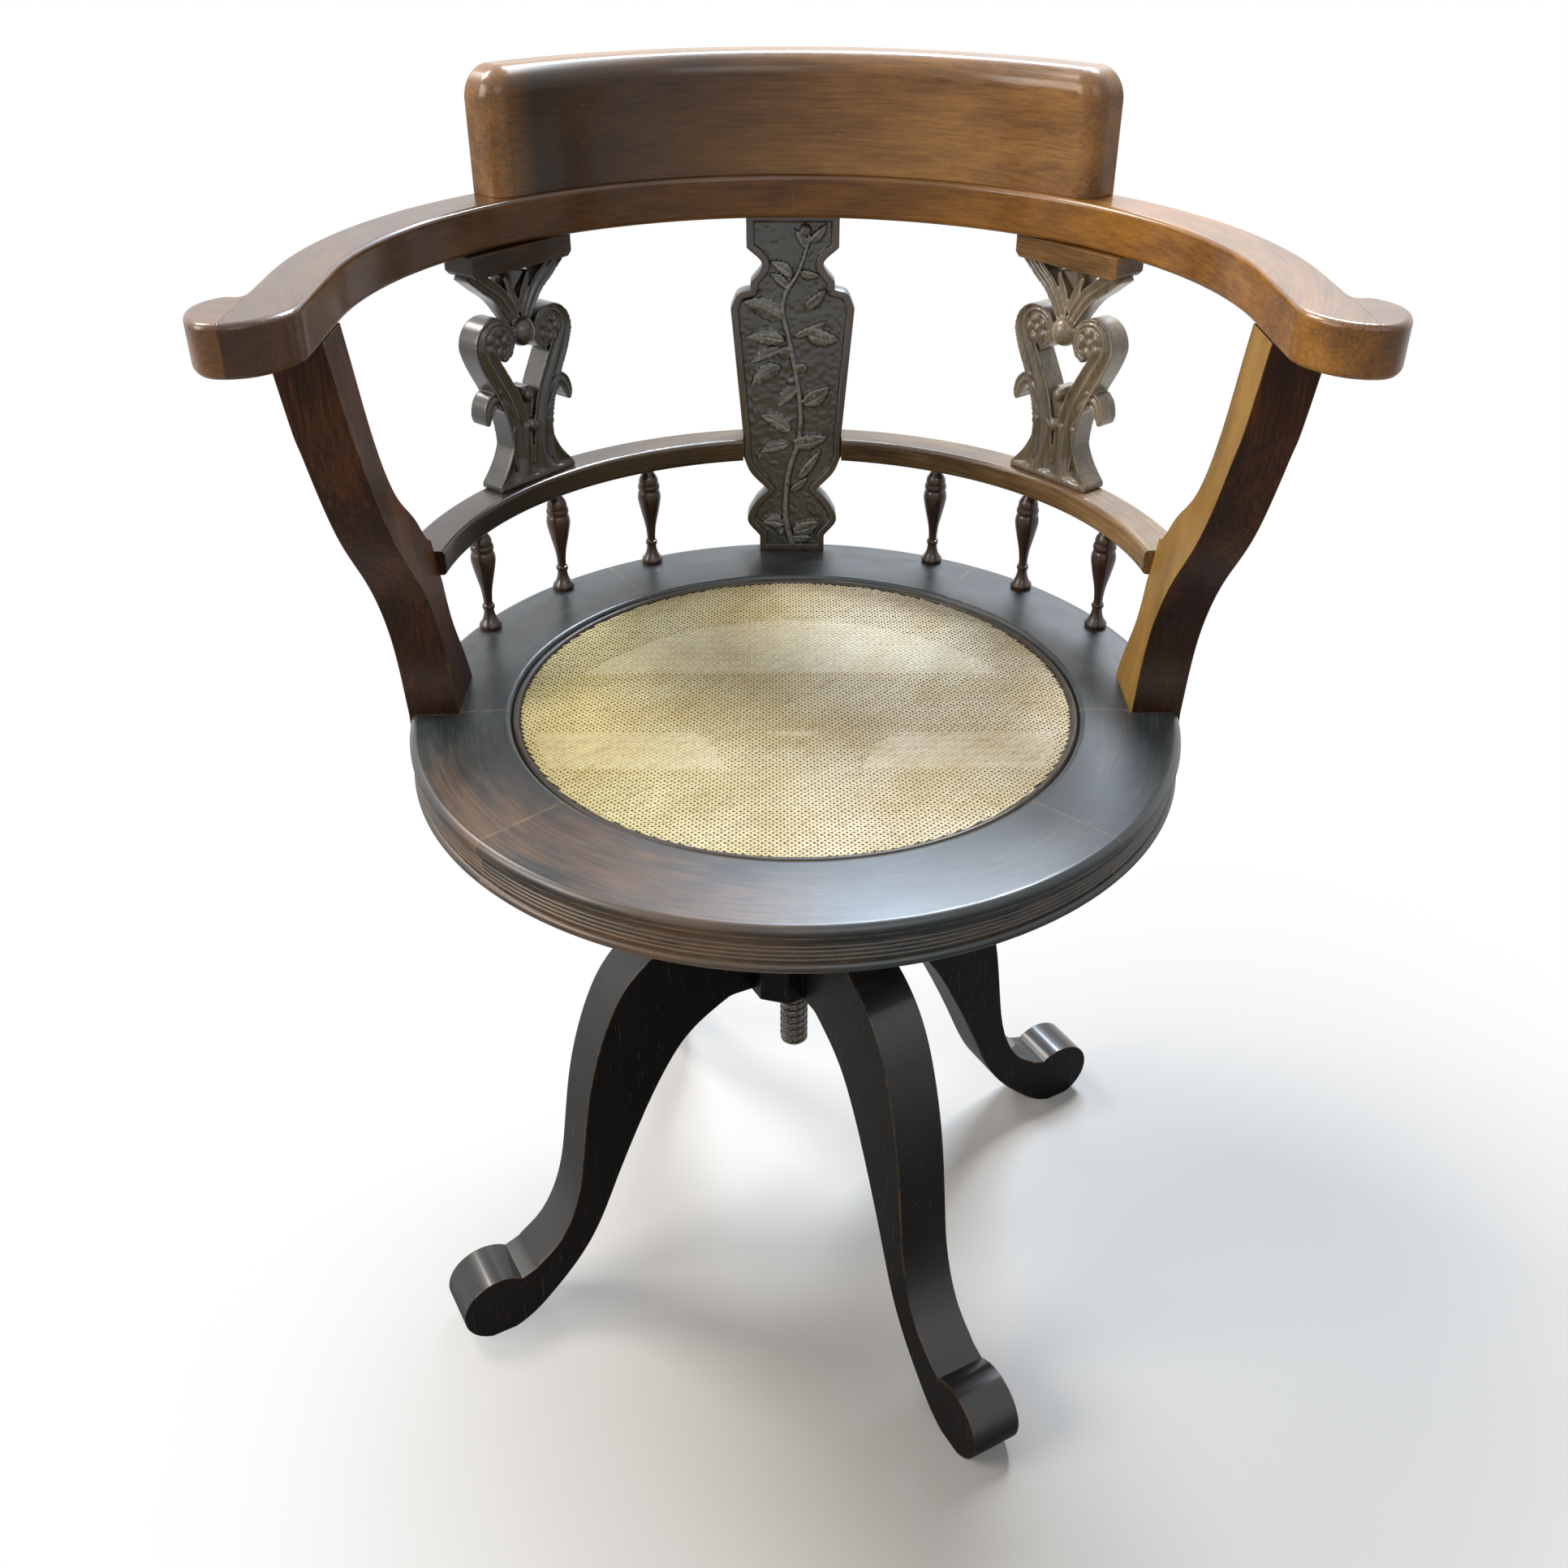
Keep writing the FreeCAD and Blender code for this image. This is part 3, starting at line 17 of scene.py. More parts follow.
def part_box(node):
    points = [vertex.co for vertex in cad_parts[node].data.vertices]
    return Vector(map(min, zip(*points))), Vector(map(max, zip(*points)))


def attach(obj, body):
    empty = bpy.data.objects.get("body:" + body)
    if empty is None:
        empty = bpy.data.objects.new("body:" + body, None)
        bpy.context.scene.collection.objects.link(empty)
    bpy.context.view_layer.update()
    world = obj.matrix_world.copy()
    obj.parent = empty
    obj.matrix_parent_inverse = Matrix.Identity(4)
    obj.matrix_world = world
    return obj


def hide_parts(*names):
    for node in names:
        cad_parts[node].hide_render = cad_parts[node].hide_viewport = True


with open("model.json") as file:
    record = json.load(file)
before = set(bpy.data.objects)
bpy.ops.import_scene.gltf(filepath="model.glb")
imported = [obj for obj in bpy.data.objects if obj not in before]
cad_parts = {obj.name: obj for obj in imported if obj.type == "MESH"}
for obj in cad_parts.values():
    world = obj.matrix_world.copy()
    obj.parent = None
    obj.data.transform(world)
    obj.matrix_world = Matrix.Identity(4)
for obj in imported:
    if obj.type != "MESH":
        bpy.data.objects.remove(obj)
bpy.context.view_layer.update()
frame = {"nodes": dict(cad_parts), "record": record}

MM = 0.001
scene = bpy.context.scene
nodes = frame["nodes"]

# %% [markdown]
# Colours are written as sRGB hex values, the way a paint chart or a photo editor gives them.
# Blender's shaders want linear light, so one function converts every one of them.


# %% Colours
def colour(hex_value):
    """An sRGB hex colour as the linear RGBA that a shader socket takes."""
    channels = [int(hex_value[i:i + 2], 16) / 255 for i in (1, 3, 5)]
    return [c / 12.92 if c <= 0.04045 else ((c + 0.055) / 1.055) ** 2.4 for c in channels] + [1.0]


# %% [markdown]
# A material is a small network of nodes.  Building one by clicking is easy, but in a script the
# same three lines come back each time: make the node, set its values, wire its inputs.  One helper
# does those three for every kind of node, so that each finish below reads like its own recipe.  It
# takes a node where an output is meant, because nearly always that is the node's only open output.


# %% One helper for nodes
def fill(tree, node, *values, **named):
    """Gives values to a node's open inputs in order, and named ones to the inputs of that name.

    A value is a number, a vector, a hex colour, an output, or a node with its first open output.
    """
    sockets = [socket for socket in node.inputs if socket.enabled]
    pairs = list(zip(sockets, values))
    pairs += [(node.inputs[name.replace("_", " ")], value) for name, value in named.items()]
    for socket, value in pairs:
        if isinstance(value, bpy.types.Node):
            value = next(output for output in value.outputs if output.enabled)
        if isinstance(value, bpy.types.NodeSocket):
            tree.links.new(value, socket)
        else:
            socket.default_value = colour(value) if isinstance(value, str) else value


def add(tree, kind, settings=None, *values, stops=(), **named):
    """Adds one node and returns it.

    settings are its own properties.  stops are a ramp's places and colours, and a plain number is
    a grey there.  The rest fills its inputs.
    """
    made = tree.nodes.new("ShaderNode" + kind)
    for name, value in (settings or {}).items():
        setattr(made, name, value)
    if stops:
        elements = made.color_ramp.elements
        while len(elements) < len(stops):
            elements.new(0.5)
        for element, (place, value) in zip(elements, stops):
            element.position = place
            element.color = colour(value) if isinstance(value, str) else (value, value, value, 1)
    fill(tree, made, *values, **named)
    return made


PRODUCT = {"operation": "MULTIPLY", "use_clamp": True}
SCALED_SUM = {"operation": "MULTIPLY_ADD", "use_clamp": True}
BLEND = {"data_type": "RGBA"}
DARKEN = {"data_type": "RGBA", "blend_type": "MULTIPLY"}
LEVEL_ENDS = {"interpolation_type": "SMOOTHSTEP"}


def new_material(name):
    """An empty material and its tree, with a Principled shader wired to the output."""
    made = bpy.data.materials.new(name)
    made.use_nodes = True
    tree = made.node_tree
    tree.nodes.clear()
    output = add(tree, "OutputMaterial")
    shader = add(tree, "BsdfPrincipled")
    fill(tree, output, Surface=shader)
    return made, tree, shader


# %% [markdown]
# The wood is beech or a similar close-grained hardwood, stained and finished with shellac more than
# a century ago.  Three things make it look old.  Under the finish the stain lies unevenly along
# the grain.  Hands, sleeves and coats have taken the finish off the corners and the high places,
# so that a paler tan shows there; along the ridges of the carving that pale colour is also a
# painted highlight.  And the shellac, still glossy in the middle of each surface, is crossed by
# fine scratches.  Each of these is one layer of the recipe.
#
# Grain runs along a board.  On a straight board that is one axis, but these rails are bent, so
# their grain runs round the chair.  For them the recipe unrolls the rail: the angle round the
# swivel axis, times a radius, takes the place of X.


# %% Where the grain runs
UNROLL_RADIUS = 0.24
SEAT_JOINT_DEGREES = 47.5


def in_millimetres(tree, vector=None):
    """A vector in metres as millimetres; without one, the place on the object."""
    place = add(tree, "TexCoord").outputs["Object"] if vector is None else vector
    return add(tree, "VectorMath", {"operation": "SCALE"}, place, Scale=1 / MM)


def share_along(tree, place, axis, low, high):
    """0 to 1 between two places along an axis, in the units of place."""
    value = add(tree, "SeparateXYZ", Vector=place).outputs[axis]
    return add(tree, "MapRange", Value=value, From_Min=low, From_Max=high)


def grain_space(tree, run):
    """Coordinates in millimetres whose X lies along the grain: run is ring, seat, up or across.

    Unrolling needs a cut.  On a rail it falls in front, where there is no rail.  The seat ring goes
    all the way round, so its cut is turned to the joint left of the front.
    """
    place = add(tree, "TexCoord").outputs["Object"]
    turn = math.radians(SEAT_JOINT_DEGREES) if run == "seat" else 0.0
    turned = add(tree, "VectorRotate", {"rotation_type": "Z_AXIS"}, Vector=place, Angle=turn)
    x, y, z = add(tree, "SeparateXYZ", Vector=turned).outputs
    if run in ("ring", "seat"):
        angle = add(tree, "Math", {"operation": "ARCTAN2"}, x, y)
        around = add(tree, "Math", {"operation": "MULTIPLY"}, angle, UNROLL_RADIUS)
        flat = add(tree, "CombineXYZ", X=x, Y=y)
        out = add(tree, "VectorMath", {"operation": "LENGTH"}, flat)
        grain = add(tree, "CombineXYZ", X=around, Y=out, Z=z)
    elif run == "up":
        grain = add(tree, "CombineXYZ", X=z, Y=y, Z=x)
    else:
        grain = add(tree, "CombineXYZ", X=x, Y=y, Z=z)
    return in_millimetres(tree, grain), place


def blobs(tree, space, size_mm, stretch=1.0, detail=3.0, rough=0.55, offset=0.0):
    """Random blobs about size_mm across and stretch times as long along the grain."""
    mapped = add(tree, "Mapping", Vector=space, Location=(offset, offset * 1.7, -offset),
                 Scale=(1 / (size_mm * stretch), 1 / size_mm, 1 / size_mm))
    return add(tree, "TexNoise", Vector=mapped, Scale=1.0, Detail=detail, Roughness=rough)


# %% [markdown]
# Where the finish is lost is a question of shape.  On the sawn boards the Bevel node answers
# it: it says how the normal would look if the edge were rounded, and where that differs from the
# true normal there is an edge.  On the carved pieces, whose meshes are fine enough, the Geometry
# node's Pointiness finds the ridges of the carving instead, and there the pale colour is a painted
# highlight as well as wear; where Pointiness is low, the hollows get painted shade.


# %% Edge wear
def edge_mask(tree, radius_mm):
    """White along the edges, within about radius_mm."""
    rounded = add(tree, "Bevel", {"samples": 4}, Radius=radius_mm * MM)
    true = add(tree, "NewGeometry").outputs["Normal"]
    match = add(tree, "VectorMath", {"operation": "DOT_PRODUCT"}, rounded, true)
    away = add(tree, "Math", {"operation": "SUBTRACT"}, 1.0, match)
    return add(tree, "ValToRGB", Fac=away, stops=[(0.02, 0), (0.25, 1)])


def facing(tree, direction, low, high):
    """White where the surface faces a direction: inward, or a plain vector."""
    spot = add(tree, "TexCoord")
    if direction == "inward":
        flat = add(tree, "VectorMath", {"operation": "MULTIPLY"}, spot.outputs["Object"],
                   (-1, -1, 0))
        direction = add(tree, "VectorMath", {"operation": "NORMALIZE"}, flat)
    match = add(tree, "VectorMath", {"operation": "DOT_PRODUCT"}, spot.outputs["Normal"],
                direction)
    return add(tree, "MapRange", LEVEL_ENDS, Value=match, From_Min=low, From_Max=high)


# %% [markdown]
# The stain comes first, from dark to light by the figure of the wood, and everything that made the
# chair uneven multiplies it or covers it.  Painted shade multiplies it too: darker towards the
# left-hand end of the chair and in the hollows of the carving.  Painted light turns the inward
# faces at the right paler, and the pale ridges of the carving are a painted highlight as well as
# bare wood.  Two shaders share that skin: a dull one for bare or dust-dulled wood, and one with a
# coat of shellac.  Which of them shows depends on how far the surface faces up, where polish and
# hands have kept it bright, and on how much of the finish has been taken off.


# %% Aged wood
def aged_wood(name, run, dark, middle, light, worn_and_highlit, wear=0.6, edge_mm=1.6, carved=False,
              polish=0.9, sheen=0.35, rough=0.32, seed=0.0, tones_and_shade=(), inward_wear_and_light=None, thin=None,
              scratched=0.15, coat_rough=0.14, coat=0.85, behind=None, inside_only=False):
    """Stained, shellacked hardwood with uneven stain, worn edges and scratches.

    tones_and_shade are (axis, stops): colours that multiply the stain, at places in millimetres
    along it, on every face or inside_only.  They are painted shade, darker towards the left-hand
    end of the chair and deeper in the ground of the carving; only the relief's front-most stop is
    its border's own brown.  behind is the colour that multiplies the faces turned outward.
    inward_wear_and_light is a pair of colours for inward faces that sleeves have made paler, laid
    only at the right-hand side, where it is painted light as well.  thin is a direction and the
    colour that shows where the finish has gone thin on that side.  worn_and_highlit is the pale
    colour of bare edges; along the ridges of a carved piece it is a painted highlight as well.
    """
    made, tree, shader = new_material(name)
    grain, place = grain_space(tree, run)
    figure = blobs(tree, grain, 1.7, stretch=24, detail=4, rough=0.65, offset=seed)
    pores = blobs(tree, grain, 0.45, stretch=22, detail=2, rough=0.5, offset=seed + 3)
    blotch = blobs(tree, grain, 27, stretch=3.6, offset=seed + 7)
    uneven = add(tree, "Math", {"operation": "MULTIPLY_ADD"}, blotch, 0.85, -0.28)
    wash = add(tree, "Math", SCALED_SUM, figure, 0.7, uneven)
    stain = add(tree, "ValToRGB", Fac=wash, stops=[(0.22, dark), (0.5, middle), (0.8, light)])
    # Painted shade: these stops multiply the stain darker towards the left-hand end of the chair
    # and deeper into the carved ground; only the relief's front-most stop is its border's own
    # brown.
    for axis, stops in tones_and_shade:
        low, high = stops[0][0], stops[-1][0]
        tint = add(tree, "ValToRGB", Fac=share_along(tree, place, axis, low * MM, high * MM),
                   stops=[((at - low) / (high - low), value) for at, value in stops])
        where = facing(tree, "inward", 0.1, 0.7) if inside_only else 1.0
        stain = add(tree, "Mix", DARKEN, where, stain, tint)
    if behind:
        outer = add(tree, "Mix", DARKEN, 1.0, stain, behind)
        stain = add(tree, "Mix", BLEND, facing(tree, "inward", -0.7, -0.2), outer, stain)
    line = add(tree, "ValToRGB", Fac=pores, stops=[(0.34, 0.55), (0.46, 1)])
    stain = add(tree, "Mix", DARKEN, 0.5, stain, line)
    # Painted light and wear: inward faces on the right-hand side only turn a paler gold, partly
    # where sleeves took the finish off and partly as painted light from the left.
    if inward_wear_and_light:
        east = share_along(tree, place, "X", -80 * MM, 80 * MM)
        lit = add(tree, "Math", PRODUCT, facing(tree, "inward", 0.35, 0.9), east)
        cloud = add(tree, "ValToRGB", Fac=blotch, stops=[(0.3, 0.6), (0.6, 1)])
        sleeve_wear_and_light = add(tree, "Mix", BLEND, figure, *inward_wear_and_light)
        stain = add(tree, "Mix", BLEND, add(tree, "Math", PRODUCT, lit, cloud), stain, sleeve_wear_and_light)
    if thin:
        toward, bare_wood = thin
        level = add(tree, "VectorMath", {"operation": "MULTIPLY"}, place, (1, 1, 0))
        level = add(tree, "VectorMath", {"operation": "NORMALIZE"}, level)
        match = add(tree, "VectorMath", {"operation": "DOT_PRODUCT"}, level, toward)
        bare = add(tree, "MapRange", LEVEL_ENDS, Value=match, From_Min=0.7, From_Max=0.98,
                   To_Max=0.65)
        cloud = add(tree, "ValToRGB", Fac=blotch, stops=[(0.36, 0.1), (0.56, 1)])
        streak = add(tree, "ValToRGB", Fac=figure, stops=[(0.36, 0.35), (0.58, 1)])
        bare = add(tree, "Math", PRODUCT, bare, add(tree, "Math", PRODUCT, cloud, streak))
        stain = add(tree, "Mix", BLEND, bare, stain, bare_wood)
    if carved:
        # Painted shade: the hollows of the carving, where Pointiness is low, are darkened.
        point = add(tree, "NewGeometry").outputs["Pointiness"]
        hollow_shade = add(tree, "ValToRGB", Fac=point, stops=[(0.43, 0.12), (0.5, 1)])
        stain = add(tree, "Mix", DARKEN, 1.0, stain, hollow_shade)
        # Painted highlight and wear: the ridges of the carving, where Pointiness is high, take the
        # pale colour.
        edges = add(tree, "ValToRGB", Fac=point, stops=[(0.52, 0), (0.62, 1)])
    else:
        edges = edge_mask(tree, edge_mm)
    patch = blobs(tree, grain, 9, stretch=2.5, detail=5, rough=0.7, offset=seed + 11)
    broken = add(tree, "ValToRGB", Fac=patch, stops=[(0.36, 0), (0.62, 1)])
    rubbed_and_highlit = add(tree, "Math", PRODUCT, add(tree, "Math", PRODUCT, edges, broken), wear)
    skin = add(tree, "Mix", BLEND, rubbed_and_highlit, stain, worn_and_highlit)
    hair = blobs(tree, grain, 0.8, stretch=40, detail=2, rough=0.6, offset=seed + 19)
    scratch = add(tree, "ValToRGB", Fac=hair, stops=[(0.68, 0), (0.73, 1)])
    skin = add(tree, "Mix", BLEND, add(tree, "Math", PRODUCT, scratch, scratched), skin, worn_and_highlit)
    haze = blobs(tree, grain, 16, stretch=2, detail=4, rough=0.6, offset=seed + 23)
    dull = add(tree, "MapRange", Value=haze, To_Min=rough * 0.7, To_Max=rough * 1.5)
    dull = add(tree, "Math", SCALED_SUM, rubbed_and_highlit, 0.3, dull)
    fine = add(tree, "Math", {"operation": "MULTIPLY"}, pores, 0.6)
    relief = add(tree, "Math", {"operation": "MULTIPLY_ADD"}, figure, 0.5, fine)
    bump = add(tree, "Bump", Strength=0.10, Distance=0.15 * MM, Height=relief)
    polished = add(tree, "BsdfPrincipled", Base_Color=skin, Roughness=dull, Normal=bump,
                   Coat_Weight=coat, Coat_Roughness=coat_rough)
    fill(tree, shader, Base_Color=skin, Normal=bump, Roughness=0.5, Specular_IOR_Level=0.06)
    top = add(tree, "MapRange", Value=facing(tree, (0, 0, 1), 0.05, 0.75), To_Min=sheen,
              To_Max=polish)
    kept = add(tree, "Math", SCALED_SUM, rubbed_and_highlit, -0.5, top)
    both = add(tree, "MixShader", None, kept, shader, polished)
    output = next(node for node in tree.nodes if node.type == "OUTPUT_MATERIAL")
    fill(tree, output, Surface=both)
    return made


# Painted shade: the stops along X below darken the parts towards the left-hand end of the chair; on
# the relief the stops along Y darken the deeper ground, and its front-most stop is its border's own
# brown.
finish = {
    "crest": aged_wood("shellacked_beech_crest", "ring", "#553617", "#8a6032", "#b08040", "#cda673",
                       wear=0.5, sheen=0.4, seed=1.0,
                       tones_and_shade=[("X", [(-200, "#ffffff"), (-176, "#ffffff"), (-158, "#5f6068"),
                                     (-60, "#a8a29c"), (60, "#ffffff")])], inside_only=True),
    "arm": aged_wood("shellacked_beech_arm", "ring", "#523313", "#8a5b22", "#b47c2e", "#cf9f62",
                     wear=0.5, sheen=0.3, seed=5.0,
                     tones_and_shade=[("X", [(-260, "#8c8078"), (240, "#ffffff")])]),
    "pad": aged_wood("shellacked_beech_pad", "across", "#3f2710", "#6c461e", "#8d5c2a", "#c39a66",
                     wear=0.5, sheen=0.35, seed=8.0),
    # Painted light: the post's inward pair makes the inward faces at the right paler gold, along
    # with sleeves' wear.
    "post": aged_wood("stained_beech_post", "up", "#190e08", "#351e11", "#60391b", "#b98c58",
                      wear=0.7, sheen=0.06, seed=12.0, inward_wear_and_light=("#80602c", "#b98f4c")),
    "ring": aged_wood("stained_beech_seat", "seat", "#131718", "#2a3133", "#4c504e", "#a98e70",
                      wear=0.9, edge_mm=2.2, sheen=0.15, polish=1.0, rough=0.33, seed=17.0,
                      thin=((-0.55, -0.835, 0), "#7a5430"), scratched=0.2, coat_rough=0.3,
                      coat=0.5),
    "rail": aged_wood("stained_beech_rail", "ring", "#3a2814", "#7b5d3a", "#a98a5c", "#bd9c70",
                      wear=0.6, sheen=0.3, seed=21.0,
                      tones_and_shade=[("X", [(-180, "#57504c"), (180, "#ffffff")])]),
    "turned": aged_wood("stained_beech_turning", "up", "#1a100a", "#3a2417", "#5f3c24", "#94704c",
                        wear=0.6, sheen=0.5, seed=25.0),
    # Painted highlight: the pale last colour of the carving and of the relief, blue-grey on the
    # relief, lies along their ridges as well as wear.
    "carved": aged_wood("stained_beech_carving", "up", "#3a3126", "#85745c", "#b09a7e", "#d0c9ba",
                        wear=1.0, sheen=0.8, polish=1.0, coat_rough=0.2, carved=True, seed=31.0,
                        tones_and_shade=[("X", [(-160, "#4c4743"), (160, "#ffffff")])],
                        behind="#80705f"),
    "splat": aged_wood("stained_beech_relief", "up", "#57544c", "#86847a", "#a09888", "#b4c0c4",
                       wear=1.0, sheen=0.9, polish=1.0, carved=True, seed=33.0,
                       tones_and_shade=[("Y", [(222.9, "#84634e"), (223.28, "#84634e"), (223.4, "#ffffff"),
                                     (224.4, "#a5a5a5"), (225.4, "#74726f"), (226.2, "#74726f")])],
                       behind="#d5aa88"),
    "block": aged_wood("stained_beech_block", "ring", "#35230f", "#74532c", "#a97c42", "#c39c68",
                       wear=0.5, sheen=0.3, seed=35.0,
                       tones_and_shade=[("X", [(-200, "#5a5250"), (200, "#ffffff")])]),
    "base": aged_wood("ebonised_beech_base", "up", "#030303", "#0a0808", "#181110", "#8f6c48",
                      wear=1.0, edge_mm=2.4, sheen=0.03, polish=0.8, seed=41.0, scratched=0.45),
    "birch": aged_wood("plain_birch_dowel", "across", "#7b5a35", "#a37d4f", "#c8a473", "#dcbf90",
                       wear=0.2, rough=0.5, sheen=0.0, polish=0.0, seed=47.0),
}
print("finishes:", ", ".join(finish))

# %% [markdown]
# The lifting screw is plain steel, turned on a lathe and long since dulled by oil.  Its hub bush
# and the spider under the seat are grey cast iron, painted black: the sand of the mould leaves a
# fine pebbled skin that paint follows.


# %% Steel and iron
def turned_steel():
    """Dull turned steel with a few brown spots."""
    made, tree, shader = new_material("turned_steel")
    scaled = in_millimetres(tree)
    spots = blobs(tree, scaled, 5, detail=5, rough=0.7)
    rust = add(tree, "ValToRGB", Fac=spots, stops=[(0.5, "#6f6a64"), (0.68, "#4d3a2c")])
    dull = add(tree, "MapRange", Value=spots, To_Min=0.28, To_Max=0.6)
    fill(tree, shader, Base_Color=rust, Roughness=dull, Metallic=1.0)
    return made


def painted_iron():
    """Black paint over sand-cast iron."""
    made, tree, shader = new_material("painted_cast_iron")
    scaled = in_millimetres(tree)
    sand = blobs(tree, scaled, 1.2, rough=0.6)
    cloud = blobs(tree, scaled, 14, detail=4, rough=0.6)
    paint = add(tree, "ValToRGB", Fac=cloud, stops=[(0.35, "#100f0e"), (0.7, "#2a2622")])
    bump = add(tree, "Bump", Strength=0.5, Distance=0.3 * MM, Height=sand)
    fill(tree, shader, Base_Color=paint, Normal=bump, Roughness=0.5)
    return made


finish["steel"] = turned_steel()
finish["iron"] = painted_iron()

# %% [markdown]
# Every board of a real chair has its corners eased with a scraper before it is finished, and that
# narrow rounding is what catches the light.  The CAD solids have sharp corners there.  A CAD mesh
# isn't changed here, so each board gets a copy: its flat faces are merged back from triangles, and
# a bevel of a quarter of a millimetre to 1.6 mm goes round it.


# %% Boards with eased corners
BODY_OF = {node: body for body, members in frame["record"]["behaviour"]["bodies"].items()
           for node in members}


def place_piece(obj, node, material):
    """Finishes a piece that stands for a CAD node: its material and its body."""
    obj.data.materials.clear()
    obj.data.materials.append(finish[material])
    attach(obj, BODY_OF[node])
    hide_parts(node)


def new_object(name, data):
    """Links a new object for a mesh, a lamp or a camera."""
    obj = bpy.data.objects.new(name, data)
    scene.collection.objects.link(obj)
    return obj


def mesh_of(name, points, faces):
    """A mesh from points in millimetres and faces as rows of point numbers."""
    mesh = bpy.data.meshes.new(name)
    mesh.from_pydata((np.asarray(points, float) * MM).tolist(), [],
                     [[int(i) for i in face] for face in faces])
    return mesh


def face_outward(mesh):
    """Turns every face of a closed mesh outward."""
    work = bmesh.new()
    work.from_mesh(mesh)
    bmesh.ops.recalc_face_normals(work, faces=work.faces)
    work.to_mesh(mesh)
    work.free()


def apply_modifiers(obj):
    """Bakes the object's modifiers into its mesh and returns that."""
    bpy.context.view_layer.update()
    shaped = obj.evaluated_get(bpy.context.evaluated_depsgraph_get())
    mesh = bpy.data.meshes.new_from_object(shaped)
    obj.modifiers.clear()
    obj.data = mesh
    return mesh


def smooth_by_angle(mesh, degrees):
    """Shades the mesh smooth and keeps the edges sharper than the angle crisp."""
    work = bmesh.new()
    work.from_mesh(mesh)
    limit = math.radians(degrees)
    for face in work.faces:
        face.smooth = True
    for edge in work.edges:
        edge.smooth = not (len(edge.link_faces) == 2 and edge.calc_face_angle(0.0) > limit)
    work.to_mesh(mesh)
    work.free()


def eased(node, material, width_mm):
    """A copy of a CAD node whose sharp corners are slightly rounded."""
    work = bmesh.new()
    work.from_mesh(nodes[node].data)
    bmesh.ops.remove_doubles(work, verts=work.verts, dist=0.004 * MM)
    bmesh.ops.dissolve_limit(work, angle_limit=math.radians(0.4), verts=work.verts,
                             edges=work.edges)
    mesh = bpy.data.meshes.new(node + "_eased")
    work.to_mesh(mesh)
    work.free()
    obj = new_object(node + "_eased", mesh)
    bevel = obj.modifiers.new("ease", "BEVEL")
    bevel.width = width_mm * MM
    bevel.segments = 2
    bevel.limit_method = "ANGLE"
    bevel.angle_limit = math.radians(35)
    bevel.miter_outer = "MITER_ARC"
    smooth_by_angle(apply_modifiers(obj), 32)
    weigh = obj.modifiers.new("weigh", "WEIGHTED_NORMAL")
    weigh.keep_sharp = True
    weigh.weight = 80
    apply_modifiers(obj)
    place_piece(obj, node, material)


EASED = {
    "crest_rail": ("crest", 1.0), "arm_rail_left": ("arm", 0.6), "arm_rail_right": ("arm", 0.6),
    "arm_pad_left": ("pad", 0.6), "arm_pad_right": ("pad", 0.6),
    "arm_post_left": ("post", 1.2), "arm_post_right": ("post", 1.2),
    "middle_rail_left": ("rail", 0.6), "middle_rail_right": ("rail", 0.6),
    "cap_block_left": ("block", 0.9), "cap_block_right": ("block", 0.9),
    "seat_rail_front": ("ring", 0.25), "seat_rail_front_left": ("ring", 0.25),
    "seat_rail_front_right": ("ring", 0.25), "seat_rail_back_left": ("ring", 0.25),
    "seat_rail_back_right": ("ring", 0.25), "seat_rail_back": ("ring", 0.25),
    "leg_front_left": ("base", 1.6), "leg_front_right": ("base", 1.6),
    "leg_back_left": ("base", 1.6), "leg_back_right": ("base", 1.6), "hub_block": ("base", 1.5),
    "seat_batten_front": ("base", 1.0), "seat_batten_back": ("base", 1.0),
    "seat_spider": ("iron", 1.0), "screw_bush": ("iron", 0.6), "screw_top_nut": ("steel", 0.6),
}
for node, (material, width) in EASED.items():
    eased(node, material, width)
print("eased", len(EASED), "boards and castings")

# %% [markdown]
# A smooth curve through a handful of points is the outline of every carved and turned piece here,
# as it would be with a draughtsman's spline.  Catmull-Rom is the simplest one that passes through
# each point.  Around such curves there are only two kinds of solid: a tube of rings, for whatever
# is turned or swept, and a board whose front is a grid of heights.


# %% Curves, tubes and boards
def through(points, steps=12):
    """Points of a smooth curve through the given ones (Catmull-Rom)."""
    pts = np.asarray(points, float)
    ext = np.vstack([2 * pts[0] - pts[1], pts, 2 * pts[-1] - pts[-2]])
    out = []
    for i in range(len(pts) - 1):
        a, b, c, d = ext[i:i + 4]
        for t in np.linspace(0, 1, steps, endpoint=False):
            out.append(0.5 * ((2 * b) + (c - a) * t + (2 * a - 5 * b + 4 * c - d) * t ** 2
                              + (3 * b - a - 3 * c + d) * t ** 3))
    out.append(pts[-1])
    return np.array(out)


def relief_board(across, front, height, back):
    """Points and faces of a board whose front is a grid of points and whose back is flat."""
    rows, cols = across.shape
    count = rows * cols
    index = np.arange(count).reshape(rows, cols)
    a, b, c, d = index[:-1, :-1], index[:-1, 1:], index[1:, 1:], index[1:, :-1]
    rim = np.concatenate([index[0, :], index[1:, -1], index[-1, -2::-1], index[-2:0:-1, 0]])
    following = np.roll(rim, -1)
    faces = [np.stack([a, b, c, d], -1).reshape(-1, 4),
             np.stack([d, c, b, a], -1).reshape(-1, 4) + count,
             np.stack([following, rim, rim + count, following + count], -1)]
    sides = [np.stack([across, depth, height], -1).reshape(-1, 3)
             for depth in (front, np.full_like(across, back))]
    return np.vstack(sides), np.vstack(faces)


